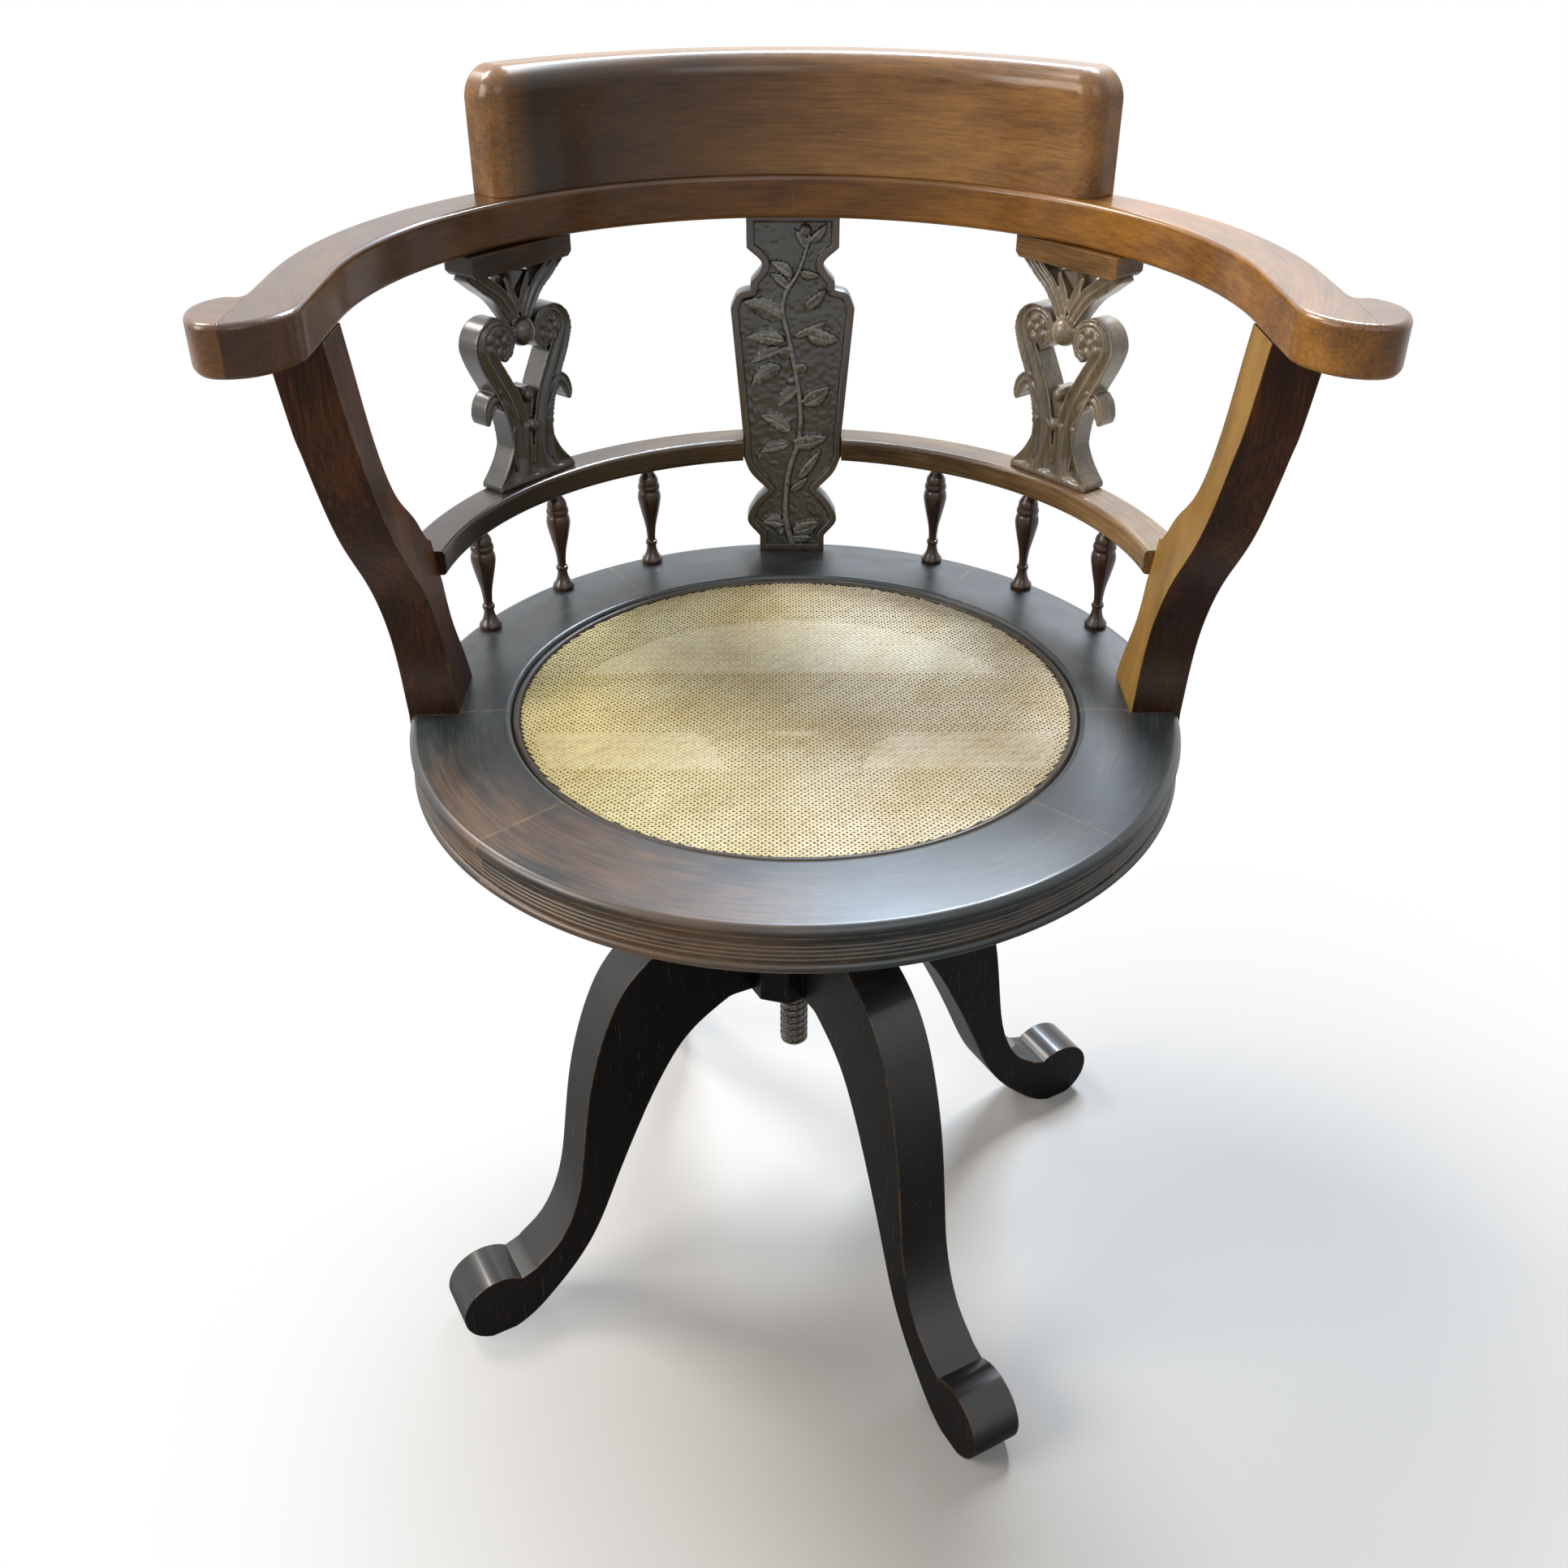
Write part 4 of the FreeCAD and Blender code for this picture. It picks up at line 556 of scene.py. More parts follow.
def tube_faces(rows, count):
    """Faces of a tube of rows with count points in each, closed at both ends."""
    faces = []
    for row in range(rows - 1):
        for k in range(count):
            a, b = row * count + k, row * count + (k + 1) % count
            faces.append((a, b, b + count, a + count))
    last = (rows - 1) * count
    return faces + [tuple(reversed(range(count))), tuple(last + k for k in range(count))]


# %% [markdown]
# Spindles are turned on a lathe: one outline, spun.  The outline here is a list of radii and shares
# of the height, smoothed between the crisp places (the fillets beside a bead, the shoulder of a
# tenon), where it is broken on purpose, because a turner's tool leaves a sharp quirk there.


# %% Turned spindles
def spun(name, outline, segments=40):
    """A closed solid of revolution about Z from (radius, height) points, in millimetres."""
    turn = np.linspace(0, 2 * math.pi, segments, endpoint=False)
    rings = [(r * math.cos(t), r * math.sin(t), z) for r, z in outline for t in turn]
    mesh = mesh_of(name, rings, tube_faces(len(outline), segments))
    smooth_by_angle(mesh, 38)
    return mesh


SEAT_TOP = 447.0
RAIL_BOTTOM = 521.0


def spindle_outline():
    """Radius and height from the seat to the middle rail."""
    rise = RAIL_BOTTOM - SEAT_TOP
    foot = through([(7.2, 0.0), (7.6, 0.03), (7.0, 0.055)])
    neck = through([(6.2, 0.062), (4.7, 0.10), (3.7, 0.145), (3.3, 0.19)])
    bead = through([(3.9, 0.195), (4.2, 0.215), (3.9, 0.235)], 5)
    shaft = through([(3.0, 0.24), (3.1, 0.30), (4.0, 0.40), (6.5, 0.55), (8.2, 0.67), (8.0, 0.73),
                     (7.2, 0.762)])
    ring = through([(7.4, 0.768), (7.8, 0.797), (7.4, 0.826)], 6)
    upper = through([(6.8, 0.832), (6.9, 0.86), (6.2, 0.895), (4.6, 0.93), (3.8, 0.955),
                     (3.6, 1.0)])
    whole = np.vstack([foot, neck, bead, shaft, ring, upper])
    return [(r, SEAT_TOP + share * rise) for r, share in whole]


spindle_mesh = spun("spindle", spindle_outline())
for node in sorted(nodes):
    if node.startswith("spindle"):
        low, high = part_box(node)
        piece = new_object(node + "_turned", spindle_mesh.copy())
        middle = (low + high) / 2
        piece.data.transform(Matrix.Translation((middle.x, middle.y, 0)))
        place_piece(piece, node, "turned")
print("spindles:", len(spindle_mesh.vertices), "points each")

# %% [markdown]
# The lifting screw is a real helix here.  On a grid that runs round and up the rod, the radius
# only has to depend on height less one pitch per turn, and the thread winds by itself.


# %% The lifting screw
PITCH = 6.0
THREAD_DEPTH = 1.8
THREAD_END = 304.0
ROD_CHAMFER = 3.0


def smoothstep(share):
    """0 to 1 with level ends."""
    share = np.clip(share, 0, 1)
    return share * share * (3 - 2 * share)


def threaded_rod():
    """The visible screw: a rounded square thread up to the plain top that the nut holds."""
    low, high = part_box("swivel_screw")
    bottom, top, major = low.z / MM, high.z / MM, high.x / MM
    segments = 48
    rings = []
    turn = np.linspace(0, 2 * math.pi, segments, endpoint=False)
    for z in np.concatenate([np.arange(bottom, THREAD_END, 0.5), [THREAD_END, top]]):
        share = (z / PITCH - turn / (2 * math.pi)) % 1.0
        crest = smoothstep((np.abs(share - 0.5) - 0.16) / 0.12)
        radius = major - THREAD_DEPTH * (1 - crest)
        if z >= THREAD_END:
            radius = np.full(segments, major)
        chamfer = np.clip((z - bottom) / ROD_CHAMFER, 0, 1)
        radius = np.minimum(radius, major - ROD_CHAMFER * (1 - chamfer))
        rings.append(np.stack([radius * np.cos(turn), radius * np.sin(turn),
                               np.full(segments, z)], -1))
    mesh = mesh_of("lifting_screw", np.vstack(rings), tube_faces(len(rings), segments))
    smooth_by_angle(mesh, 50)
    return new_object("lifting_screw", mesh)


place_piece(threaded_rod(), "swivel_screw", "steel")

# %% [markdown]
# The centre splat is carved in low relief: the ground is sunk 3 mm inside a plain border, and a
# trailing stem with leaves and berries is left standing up from it.  Low relief is a height for
# each point of the board, so the front is a fine grid whose points are pushed forwards by that
# height.  Where two leaves overlap the higher one wins, as it would under the chisel.

# %% The centre splat's outline
SPLAT_TOP = 691.0
FRONT = 223.0
BOARD = 14.0
BORDER = 4.4
GROUND_DEPTH = 3.1
TOOL_MARKS = 0.18
CORNER = 1.2
SPLAT_RUNS = [
    [(24, 447), (24, 459.2)],
    [(24, 459.2), (33, 471.9), (27, 486), (18, 495.8)],
    [(18, 495.8), (30, 508.5), (35.5, 521)],
    [(35.5, 521), (35.5, 537)],
    [(35.5, 537), (43, 628)],
    [(43, 628), (38, 638), (29, 641)],
    [(29, 641), (29, 646.1)],
    [(29, 646.1), (21, 658.1), (31.5, 669)],
    [(31.5, 669), (31.5, 691)],
]


def splat_edge():
    """Half-width and height along the splat's right-hand edge."""
    parts = [through(run, 10) if len(run) > 2 else np.array(run, float) for run in SPLAT_RUNS]
    return np.vstack(parts)


def distance_to(points, path):
    """Distance from each point to a polyline, and how far along it the nearest place is."""
    best = np.full(points.shape[:-1], 1e9)
    share = np.zeros(points.shape[:-1])
    count = len(path) - 1
    for i in range(count):
        a, b = path[i], path[i + 1]
        ab = b - a
        t = np.clip(((points - a) @ ab) / max(ab @ ab, 1e-9), 0, 1)
        gap = np.linalg.norm(points - (a + t[..., None] * ab), axis=-1)
        closer = gap < best
        best = np.where(closer, gap, best)
        share = np.where(closer, (i + t) / count, share)
    return best, share


# %% [markdown]
# A leaf grows from its base to its tip.  Its width swells and tapers along that line, its rim is
# toothed, its middle is cut by a vein, and one side is lifted so that it catches the light.


# %% Leaves, stem and berries as heights
LEAF_TEETH = 5


def leaf(points, base, tip, width, high):
    """Height of one carved leaf over the ground."""
    base, tip = np.array(base, float), np.array(tip, float)
    axis = tip - base
    length = np.linalg.norm(axis)
    axis = axis / length
    side = np.array([-axis[1], axis[0]])
    along = ((points - base) @ axis) / length
    bend = 0.10 * width * np.sin(np.clip(along, 0, 1) * math.pi)
    across = (points - base) @ side + bend
    body = np.clip(along, 1e-4, 1 - 1e-4)
    reach = width / 2 * np.sin(math.pi * body ** 0.72) ** 0.75
    reach = reach * (1 - 0.16 * np.abs(np.sin(body * math.pi * LEAF_TEETH)))
    share = across / np.maximum(reach, 0.05)
    inside = np.clip(1 - share ** 2, 0, 1) * ((along > 0) & (along < 1))
    dome = np.sqrt(inside)
    slope = 1 + 0.315 * share
    vein = 0.9 * np.exp(-(across / 0.5) ** 2) * np.clip(1.1 - along, 0, 1)
    ribs = 0.12 * np.cos((along * 7 - np.abs(share) * 1.2) * 2 * math.pi) * inside
    height = (high * (0.45 + 0.55 * dome) * slope - vein + ribs) * np.clip(inside / 0.22, 0, 1)
    return np.maximum(height, 0)


STEM = [(0.5, 451), (-4.5, 472), (-4.3, 494), (-1.5, 513), (4.5, 532), (6, 550), (4.6, 568),
        (0.5, 592), (-3.5, 611), (-7, 625), (-5, 638), (3, 651), (8, 664), (11.5, 676)]
LEAVES = [
    ((10, 668), (1, 681), 7, 2.2), ((12, 672), (23, 684), 8, 2.6),
    ((0, 650), (-15, 660), 10, 2.4), ((-3, 642), (-16, 652), 8, 2.0),
    ((5, 652), (19, 650), 8, 2.4), ((9, 628), (23, 641), 10, 2.6),
    ((-7, 622), (-34, 633), 17, 2.9), ((-6, 606), (-33, 608), 13, 2.6),
    ((1, 608), (24, 619), 8, 2.4), ((10, 611), (33, 606), 15, 2.6),
    ((-8, 600), (-30, 590), 9, 2.2), ((-9, 588), (-29, 574), 14, 3.0),
    ((3, 572), (-10, 558), 10, 2.2), ((8, 560), (27, 573), 15, 2.7),
    ((-1, 541), (-23, 552), 13, 2.5), ((-3, 530), (-24, 524), 9, 2.0),
    ((1, 530), (26, 536), 14, 2.7), ((5, 504), (21, 526), 9, 2.5),
    ((-1, 494), (12, 505), 8, 2.3), ((1, 462), (21, 470), 15, 2.6),
    ((-6, 468), (-22, 470), 12, 2.3), ((0, 456), (16, 457), 8, 2.2),
]
BERRIES = [(-5, 597, 5.0), (6.5, 586, 4.3), (-1, 577, 3.0), (8.5, 680, 4.2), (-24, 520, 1.8),
           (-2, 548, 1.6), (-8, 461, 2.4), (-3, 470, 1.6)]


def carving(points):
    """Height of the carving over the sunk ground, in millimetres."""
    gap, share = distance_to(points, through(STEM, 6))
    radius = 2.7 - 1.2 * share
    high = 2.7 * np.sqrt(np.clip(1 - (gap / radius) ** 2, 0, 1))
    for base, tip, width, top in LEAVES:
        high = np.maximum(high, leaf(points, base, tip, width, top))
    for x, z, radius in BERRIES:
        gap = np.hypot(points[..., 0] - x, points[..., 1] - z)
        high = np.maximum(high, np.sqrt(np.clip(radius ** 2 - gap ** 2, 0, None)) * 0.85)
    return np.minimum(high, 3.0)


def centre_splat():
    """The carved board between the seat and the arm."""
    edge = splat_edge()
    rows = np.unique(np.append(np.arange(SEAT_TOP, SPLAT_TOP + 0.01, 0.62), SPLAT_TOP))
    half = np.interp(rows, edge[:, 1], edge[:, 0])
    cols = np.sin(np.linspace(-1, 1, 125) * math.pi / 2 * 0.86) / math.sin(math.pi / 2 * 0.86)
    x = half[:, None] * cols[None]
    z = np.repeat(rows[:, None], len(cols), 1)
    outline = np.vstack([[0, SEAT_TOP], edge, [0, SPLAT_TOP]])
    gap, _ = distance_to(np.stack([np.abs(x), z], -1), outline)
    sunk = smoothstep((gap - BORDER) / 1.3)
    rng = np.random.default_rng(7)
    tool = rng.normal(0, 1, (len(rows) // 4 + 2, len(cols) // 4 + 2))
    tool = np.kron(tool, np.ones((4, 4)))[:len(rows), :len(cols)]
    for _ in range(3):
        tool = (tool + np.roll(tool, 1, 0) + np.roll(tool, -1, 0) + np.roll(tool, 1, 1)
                + np.roll(tool, -1, 1)) / 5
    ground = TOOL_MARKS * tool - GROUND_DEPTH
    height = sunk * (ground + np.where(sunk > 0.5, carving(np.stack([x, z], -1)), 0))
    height = height - 0.45 * np.clip(CORNER - gap, 0, CORNER) ** 2
    mesh = mesh_of("carved_centre_splat", *relief_board(x, FRONT - height, z, FRONT + BOARD))
    face_outward(mesh)
    smooth_by_angle(mesh, 60)
    return new_object("carved_centre_splat", mesh)


place_piece(centre_splat(), "centre_splat", "splat")
print("centre splat carved with", len(LEAVES), "leaves")

# %% [markdown]
# The side splats are carved in the round and pierced: two fluted bands rise from a spreading foot,
# roll over into volutes with a rosette in each, and lean on a ball in the middle.  Such a piece is
# easiest as a heap of simple swept bars, rosettes and balls, sunk into one another and then fused.
# Blender's voxel remesh does the fusing, at 0.7 mm, which also softens the joins as sandpaper and
# a century of dusting have done.

# %% Bars, rosettes and balls for the side splats
DEPTH = 18.0


def swept_bar(path, widths, near, far, flutes=2, scoop=1.7):
    """A bar that follows (u, z) points, with flutes cut along its front."""
    centre = through(path, 8)
    width = np.interp(np.linspace(0, 1, len(centre)), np.linspace(0, 1, len(widths)), widths)
    tangent = np.gradient(centre, axis=0)
    tangent /= np.linalg.norm(tangent, axis=1)[:, None]
    side = np.stack([-tangent[:, 1], tangent[:, 0]], -1)
    shares = np.linspace(-1, 1, 8 * flutes + 1)
    cuts = scoop * (0.5 - 0.5 * np.cos((shares + 1) * math.pi * flutes))
    ring = [(s, near + c) for s, c in zip(shares, cuts)] + [(1.0, far), (-1.0, far)]
    points = []
    for spot, across, half in zip(centre, side, width):
        limit = min(1.0, half / 5.0)
        for share, depth in ring:
            u, z = spot + across * share * half
            points.append((u, near + (depth - near) * limit if depth < far else far, z))
    return points, tube_faces(len(centre), len(ring))


def with_poles(rings, start, end):
    """A closed solid of rings of points that narrows to one point at either end."""
    rows, count = len(rings), len(rings[0])
    last = (rows - 1) * count
    faces = []
    for k in range(count):
        m = (k + 1) % count
        faces.append((rows * count, k, m))
        for row in range(rows - 1):
            a, b = row * count + k, row * count + m
            faces.append((a, a + count, b + count, b))
        faces.append((last + k, rows * count + 1, last + m))
    return np.vstack([*rings, start, end]), faces


def rosette(u, z, radius, near, far):
    """A five-petalled rosette on a round boss."""
    turn = np.linspace(0, 2 * math.pi, 48, endpoint=False)
    petal = np.abs(np.cos(2.5 * turn)) ** 0.6
    fronts = []
    for share in (0.14, 0.22, 0.3, 0.45, 0.6, 0.75, 0.88, 0.96, 1.0):
        dome = 2.9 * math.sin(math.pi * min(max((share - 0.2) / 0.78, 0), 1)) * petal
        boss = 2.6 * math.sqrt(max(0.0, 1 - (share / 0.26) ** 2))
        fronts.append((share, near - np.maximum(dome, boss)))
    rings = [np.stack([u + radius * share * np.cos(turn), depth,
                       z + radius * share * np.sin(turn)], -1)
             for share, depth in fronts + [(1.0, np.full(len(turn), far))]]
    return with_poles(rings, (u, near - 2.6, z), (u, far, z))


def ball(u, depth, z, radius):
    """A ball with its poles above and below."""
    turn = np.linspace(0, 2 * math.pi, 24, endpoint=False)
    rings = []
    for lean in np.linspace(0, math.pi, 15)[1:-1]:
        reach = radius * math.sin(lean)
        rings.append(np.stack([u + reach * np.cos(turn), depth + reach * np.sin(turn),
                               np.full(len(turn), z + radius * math.cos(lean))], -1))
    return with_poles(rings, (u, depth, z + radius), (u, depth, z - radius))


# %% The fluted foot
FOOT_LOW = 537.0
FOOT_HIGH = 576.0


def splat_foot():
    """The spreading foot that stands on the middle rail."""
    rows = np.linspace(FOOT_LOW, FOOT_HIGH, 44)
    share = (rows - FOOT_LOW) / (FOOT_HIGH - FOOT_LOW)
    half = 16.5 + 17.5 * (1 - np.clip((share - 0.1) / 0.9, 0, 1)) ** 2.1
    cols = np.linspace(-1, 1, 61)
    plinth = np.clip((rows - FOOT_LOW - 3) / 2, 0, 1)
    flute = 3.0 * (0.5 - 0.5 * np.cos((cols + 1) * math.pi * 3)) ** 0.7
    spread = -1.5 * (1 - share) ** 3
    u = half[:, None] * cols[None]
    z = np.repeat(rows[:, None], len(cols), 1)
    depth = spread[:, None] + plinth[:, None] * flute[None] + 0.5
    return relief_board(u, depth, z, DEPTH)


# %% Both side splats
VOLUTE = (22.5, 634.0)
SPLAT_TURN = 39.0
SPLAT_FACE = 222.0


def side_splat():
    """One side splat in its own plane: u along it, depth back from its face, and height."""
    solids = [splat_foot()]
    for sign in (1, -1):
        arc = [(sign * (VOLUTE[0] + 12.0 * math.cos(math.radians(a))),
                VOLUTE[1] + 12.0 * math.sin(math.radians(a))) for a in range(-15, 256, 18)]
        band = [(sign * 8.5, 548), (sign * 9.5, 562), (sign * 11, 577), (sign * 15.5, 593),
                (sign * 22.5, 607), (sign * 30, 621)] + arc
        horn = [(sign * u, z) for u, z in ((3, 641), (8, 651), (16, 662), (26, 670), (37, 679))]
        curl = [(sign * u, z) for u, z in ((10, 574), (15, 585), (21, 594), (28, 598), (33, 595),
                                           (36, 588), (36.5, 583))]
        solids += [
            swept_bar(band, [9, 8.6, 8.0, 7.6, 6.4, 4.8, 3.4, 2.7, 2.4, 2.4, 2.4, 2.4], 0.6,
                      DEPTH, scoop=2.4),
            rosette(sign * VOLUTE[0], VOLUTE[1], 10.6, 2.6, DEPTH - 1),
            swept_bar(horn, [3.8, 4.6, 5.2, 5.4, 5.4], 2.6, DEPTH - 1, scoop=1.8),
            swept_bar(curl, [3, 4.5, 5.2, 5.2, 4.6, 3.4, 1.2], 1.6, DEPTH - 2, scoop=1.5)]
    solids.append(swept_bar([(0, 643), (0, 653), (0, 663), (0, 673)], [4, 7.5, 10.0, 11.0], 6.0,
                            DEPTH - 1, flutes=1, scoop=4.5))
    solids += [swept_bar([(0, 648), (lean * 5, 660), (lean * 10, 672)], [2.2, 3.2, 1.2], 3.4,
                         DEPTH - 2, flutes=1, scoop=1.2) for lean in (-1, 1)]
    solids += [
        swept_bar([(0, 655), (0, 679)], [5.0, 5.0], 10.0, DEPTH, flutes=1, scoop=0.5),
        ball(0, 4.4, 636.5, 9.6), ball(0, 2.4, 575, 4.6), ball(0, 4.0, 594.5, 4.2),
        swept_bar([(0, 565), (0, 586), (0, 600)], [8.0, 5.0, 3.0], 4.5, DEPTH - 1, flutes=1,
                  scoop=0.4)]
    points = []
    faces = []
    for solid_points, solid_faces in solids:
        faces += [[i + len(points) for i in face] for face in solid_faces]
        points += list(solid_points)
    mesh = mesh_of("side_splat_heap", points, faces)
    face_outward(mesh)
    heap = new_object("side_splat_heap", mesh)
    fuse = heap.modifiers.new("fuse", "REMESH")
    fuse.mode = "VOXEL"
    fuse.voxel_size = 0.7 * MM
    soften = heap.modifiers.new("soften", "SMOOTH")
    soften.factor = 0.5
    soften.iterations = 3
    fused = apply_modifiers(heap)
    bpy.data.objects.remove(heap)
    fused.shade_smooth()
    return fused


splat_mesh = side_splat()
turn = math.radians(SPLAT_TURN)
for name, sign in (("side_splat_right", 1), ("side_splat_left", -1)):
    mesh = splat_mesh.copy()
    co = np.empty(len(mesh.vertices) * 3)
    mesh.vertices.foreach_get("co", co)
    u, d, z = co.reshape(-1, 3).T
    r = SPLAT_FACE * MM + d
    x = sign * (r * math.cos(turn) - u * math.sin(turn))
    y = r * math.sin(turn) + u * math.cos(turn)
    mesh.vertices.foreach_set("co", np.stack([x, y, z], -1).ravel())
    if sign > 0:
        mesh.flip_normals()
    mesh.update()
    place_piece(new_object(name + "_carved", mesh), name, "carved")
print("side splats:", len(splat_mesh.vertices), "points each")

# %% [markdown]
# The cane seat is woven from strips split off the rattan vine, glossy on the side that was bark and
# about 2 mm wide.  Here they lie close together at 45 degrees in both directions.  A picture of
# weaving pasted on a disc would look flat from the side, so the strips are real: each one dips
# under and rises over the ones that it crosses, and the whole sheet sags a little where people sat.

# %% Cane: its material
SPACING = 2.9
STRIP = 2.15


def rattan():
    """Split rattan: straw-coloured, silky along the strip, browner here and there."""
    made, tree, shader = new_material("split_rattan")
    scaled = in_millimetres(tree)
    cloud = blobs(tree, scaled, 45, rough=0.6)
    fleck = blobs(tree, scaled, 3.2, detail=4, rough=0.7, offset=9)
    east = share_along(tree, scaled, "X", -130, 40)
    warm = add(tree, "ValToRGB", Fac=cloud, stops=[(0.3, "#d0bb70"), (0.7, "#e8d896")])
    pale = add(tree, "ValToRGB", Fac=cloud, stops=[(0.3, "#c9b88c"), (0.7, "#e0d7bc")])
    skin = add(tree, "Mix", BLEND, east, warm, pale)
    brown = add(tree, "ValToRGB", Fac=fleck, stops=[(0.5, 0), (0.66, 1)])
    skin = add(tree, "Mix", BLEND, add(tree, "Math", PRODUCT, brown, 0.4), skin, "#8a6f3a")
    # Dust and painted shade: the strips' low edges are darkened brown, which also paints the shade
    # of the gaps between the strips.
    rim = add(tree, "Attribute", {"attribute_name": "rim"}).outputs["Fac"]
    dust_and_gap_shade = add(tree, "ValToRGB", Fac=rim, stops=[(0.3, 0), (0.9, 0.85)])
    skin = add(tree, "Mix", BLEND, dust_and_gap_shade, skin, "#5d4a26")
    strip = add(tree, "VectorRotate", {"rotation_type": "Z_AXIS"}, Vector=scaled,
                Angle=math.radians(-45))
    streak = add(tree, "ValToRGB", stops=[(0.5, 0), (0.68, 1)],
                 Fac=blobs(tree, strip, 2.6, stretch=10, detail=2, rough=0.6, offset=21))
    skin = add(tree, "Mix", BLEND, add(tree, "Math", PRODUCT, streak, 0.35), skin, "#9c8250")
    fill(tree, shader, Base_Color=skin, Roughness=0.42, Sheen_Weight=0.15)
    return made


finish["cane"] = rattan()

# %% Cane: its strips
OPENING = 172.7
CANE_LEVEL = 443.6
SAG = 3.0
WAVE = 0.17
SECTION = [(-0.5, -0.16), (-0.28, 0.12), (0.28, 0.12), (0.5, -0.16), (0.3, -0.3), (-0.3, -0.3)]


def sheet_height(x, y):
    """How high the sagging sheet lies at a point of the plan."""
    share = np.clip(np.hypot(x, y) / OPENING, 0, 1)
    return CANE_LEVEL - SAG * (1 - share ** 2)


def cane_weave():
    """All strips, in both directions, as one mesh; its rim attribute marks their low edges."""
    points = []
    faces = []
    rims = []
    count = int(OPENING / SPACING)
    corners = len(SECTION)
    for family in (0, 1):
        turn = math.radians(45 + 90 * family)
        along = np.array([math.cos(turn), math.sin(turn)])
        side = np.array([-along[1], along[0]])
        for k in range(-count, count + 1):
            offset = k * SPACING
            half = math.sqrt(max(OPENING ** 2 - offset ** 2, 0))
            steps = int(half / (SPACING / 2))
            if steps < 2:
                continue
            rings = np.arange(-steps, steps + 1)
            wave = np.sin((rings * 0.25 + (k * 0.5) * (1 if family == 0 else -1)
                           + 0.25 + 0.5 * family) * math.pi)
            centre = side[None] * offset + along[None] * (rings * SPACING / 2)[:, None]
            level = sheet_height(centre[:, 0], centre[:, 1]) + WAVE * wave
            first = len(points)
            rows = len(rings)
            for corner, drop in SECTION:
                edge = centre + side[None] * (corner * STRIP)
                points += np.column_stack([edge, level + drop]).tolist()
                # The low corners carry the dust and painted shade of the strips' edges, in spots at
                # every other ring so that the gaps read dark.
                rims += [0.0] * rows if drop > 0 else np.where(rings % 2, 1.0, 0.35).tolist()
            for lane in range(corners):
                a = first + lane * rows
                b = first + ((lane + 1) % corners) * rows
                faces += [(a + i, a + i + 1, b + i + 1, b + i) for i in range(rows - 1)]
            faces.append([first + lane * rows for lane in range(corners)])
            faces.append([first + lane * rows + rows - 1 for lane in reversed(range(corners))])
    mesh = mesh_of("cane_weave", points, faces)
    mesh.shade_smooth()
    rim = mesh.attributes.new("rim", "FLOAT", "POINT")
    rim.data.foreach_set("value", np.array(rims, np.float32))
    print("cane:", len(faces), "faces")
    return new_object("cane_weave", mesh)


place_piece(cane_weave(), "cane_panel", "cane")


def spline_reed():
    """The round reed that is hammered into the groove over the cane's edge."""
    made, tree, shader = new_material("spline_reed")
    grain, _ = grain_space(tree, "ring")
    line = blobs(tree, grain, 1.1, stretch=25, rough=0.6)
    tone = add(tree, "ValToRGB", Fac=line, stops=[(0.35, "#2c2620"), (0.7, "#4e4334")])
    fill(tree, shader, Base_Color=tone, Roughness=0.35)
    return made


finish["spline"] = spline_reed()

# %% [markdown]
# A few solids need no copy: the reed, the screws and the dowels are round and smooth already, so
# the CAD meshes themselves take a finish.

# %% The solids that stay
KEPT = {"cane_spline": "spline", "bush_screws": "steel", "plate_screws": "steel",
        "batten_screws": "steel", "post_screws": "steel"}
KEPT.update((node, "birch") for node in nodes if node.endswith("dowels"))
for node, material in KEPT.items():
    nodes[node].data.materials.clear()
    nodes[node].data.materials.append(finish[material])

# %% [markdown]
# The camera looks down on the chair from in front, from 0.93 m above the floor and 0.85 m before
# its middle.  Its place, turn and focal length make the chair's outline fall where it does in the
# photograph, and the lens is shifted a little, because that picture is slightly off centre.

# %% Camera
CAMERA_PLACE = (-0.013139, -0.851548, 0.926343)
CAMERA_YAW = 0.01507
CAMERA_PITCH = 0.57340
CAMERA_ROLL = 0.00506
IMAGE = 1932
FOCAL_PX = 1894.947
CENTRE_PX = (979.090, 972.345)

camera_data = bpy.data.cameras.new("photo_camera")
camera = new_object("photo_camera", camera_data)
ahead = Vector((math.sin(CAMERA_YAW) * math.cos(CAMERA_PITCH),
                math.cos(CAMERA_YAW) * math.cos(CAMERA_PITCH), -math.sin(CAMERA_PITCH)))
right = ahead.cross(Vector((0, 0, 1))).normalized()
up = right.cross(ahead)
tilt = Matrix.Rotation(-CAMERA_ROLL, 3, ahead)
right = tilt @ right
up = tilt @ up
axes = Matrix((right, up, -ahead)).transposed().to_4x4()
camera.matrix_world = Matrix.Translation(CAMERA_PLACE) @ axes
camera_data.sensor_width = 36
camera_data.lens = FOCAL_PX / IMAGE * 36
camera_data.shift_x = (IMAGE / 2 - CENTRE_PX[0]) / IMAGE
camera_data.shift_y = (CENTRE_PX[1] - IMAGE / 2) / IMAGE
camera_data.clip_start = 0.01
camera_data.clip_end = 60
scene.camera = camera
print("camera lens %.2f mm" % camera_data.lens)

# %% [markdown]
# Five soft lamps stand for the room: two behind the chair for the highlights along the rails, a
# bluish window that the seat ring mirrors, a warmer window at the left, and a weak one in front.
# The white sweep under the chair keeps its shadow near the feet and fades to plain white.  What the
# camera and polished surfaces see of the world is white too, but it lights the wood only a little.


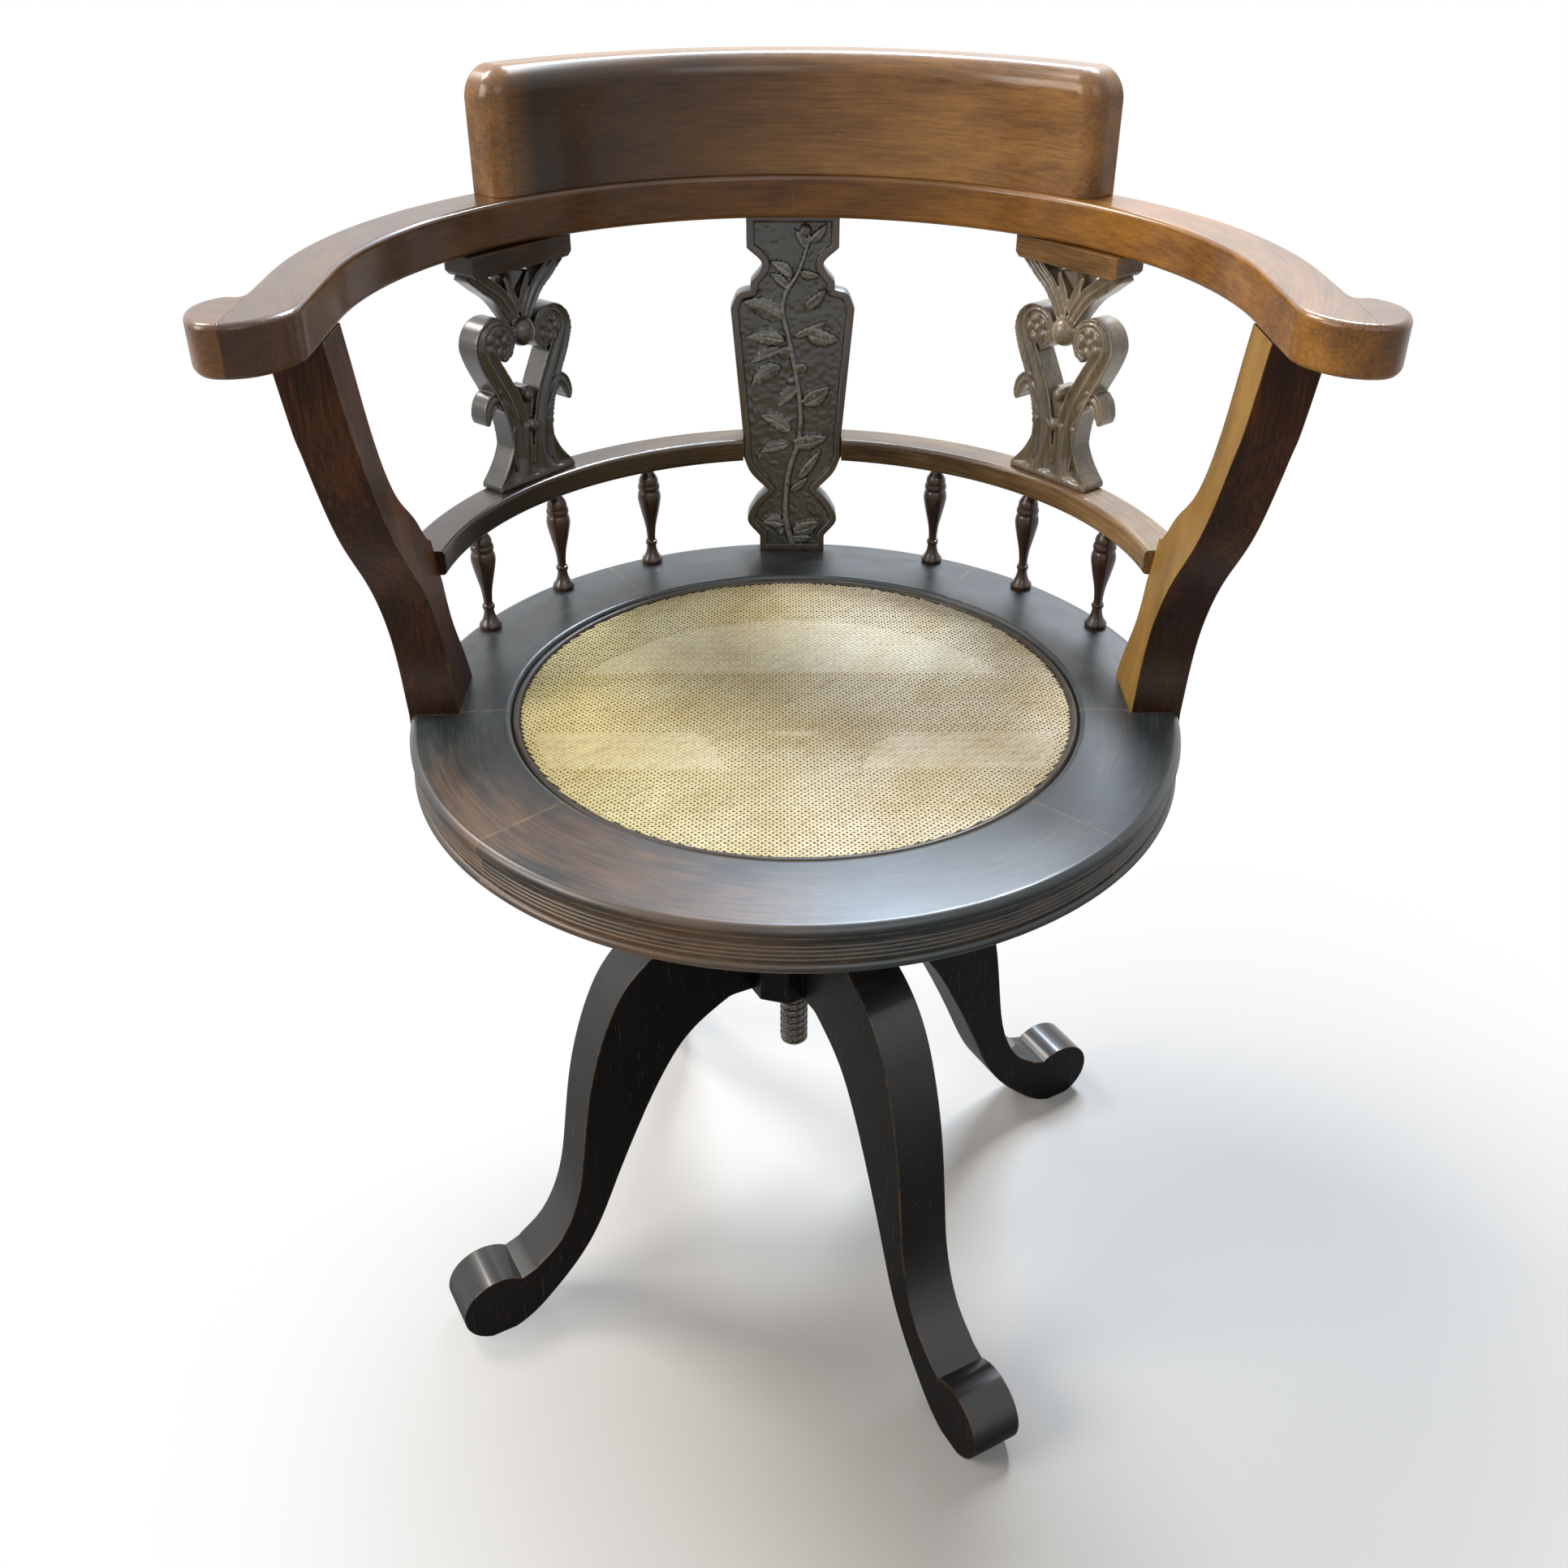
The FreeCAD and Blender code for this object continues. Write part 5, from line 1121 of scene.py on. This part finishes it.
# %% Lights and floor
def area_light(name, place, target, width, height, power, tint="#ffffff"):
    """A soft rectangular lamp that faces a point."""
    data = bpy.data.lights.new(name, "AREA")
    data.shape = "RECTANGLE"
    data.size = width
    data.size_y = height
    data.energy = power
    data.color = colour(tint)[:3]
    lamp = new_object(name, data)
    lamp.location = place
    lamp.rotation_euler = (Vector(target) - Vector(place)).to_track_quat("-Z", "Y").to_euler()


area_light("left_back_key", (-1.35, 0.75, 2.3), (0, 0, 0.2), 0.75, 0.75, 33, "#fffaf2")
area_light("back_right_key", (0.79, 1.21, 2.4), (0, 0, 0.45), 0.35, 0.35, 24)
area_light("back_window", (0.5, 1.75, 2.55), (0, 0, 0.45), 1.0, 0.7, 68, "#dbecff")
area_light("left_window", (-1.7, -0.55, 1.4), (0.1, 0.1, 0.55), 1.0, 1.0, 22, "#fff8ee")
area_light("front_fill", (0.7, -2.3, 2.2), (0, 0, 0.5), 1.6, 1.2, 10)



def seen_straight(tree):
    """1 where a ray comes from the camera, a mirror or glass, and 0 where light only spreads."""
    rays = add(tree, "LightPath").outputs
    shiny = add(tree, "Math", {"operation": "MAXIMUM"}, rays["Is Glossy Ray"],
                rays["Is Transmission Ray"])
    return add(tree, "Math", {"operation": "MAXIMUM"}, rays["Is Camera Ray"], shiny)


world = bpy.data.worlds.new("studio")
scene.world = world
world.use_nodes = True
sky = world.node_tree
sky.nodes.clear()
white = add(sky, "Background", Color="#ffffff", Strength=1.0)
ambient = add(sky, "Background", Color="#eeeeee", Strength=0.14)
add(sky, "OutputWorld", Surface=add(sky, "MixShader", None, seen_straight(sky), ambient, white))

FLOOR_REACH = 14000.0
corners = [(x * FLOOR_REACH, y * FLOOR_REACH, 0) for x, y in ((-1, -1), (1, -1), (1, 1), (-1, 1))]
floor = new_object("floor", mesh_of("floor", corners, [(0, 1, 2, 3)]))
floor_material = bpy.data.materials.new("white_sweep")
floor_material.use_nodes = True
tree = floor_material.node_tree
tree.nodes.clear()
shaded = add(tree, "BsdfDiffuse", Color="#d3d0cc")
glow = add(tree, "Emission", Color="#ffffff", Strength=0.06)
near = add(tree, "AddShader", None, shaded, glow)
away = add(tree, "VectorMath", {"operation": "DISTANCE"}, add(tree, "TexCoord").outputs["Object"],
           (0.2, -0.1, 0))
fade = add(tree, "MapRange", LEVEL_ENDS, Value=away, From_Min=0.2, From_Max=0.66)
far = add(tree, "Emission", Color="#ffffff", Strength=1.0)
seen = add(tree, "MixShader", None, fade, near, far)
plain = add(tree, "BsdfDiffuse", Color="#d8d8d8")
both = add(tree, "MixShader", None, seen_straight(tree), plain, seen)
add(tree, "OutputMaterial", Surface=both)
floor.data.materials.append(floor_material)
scene.view_settings.view_transform = "Standard"
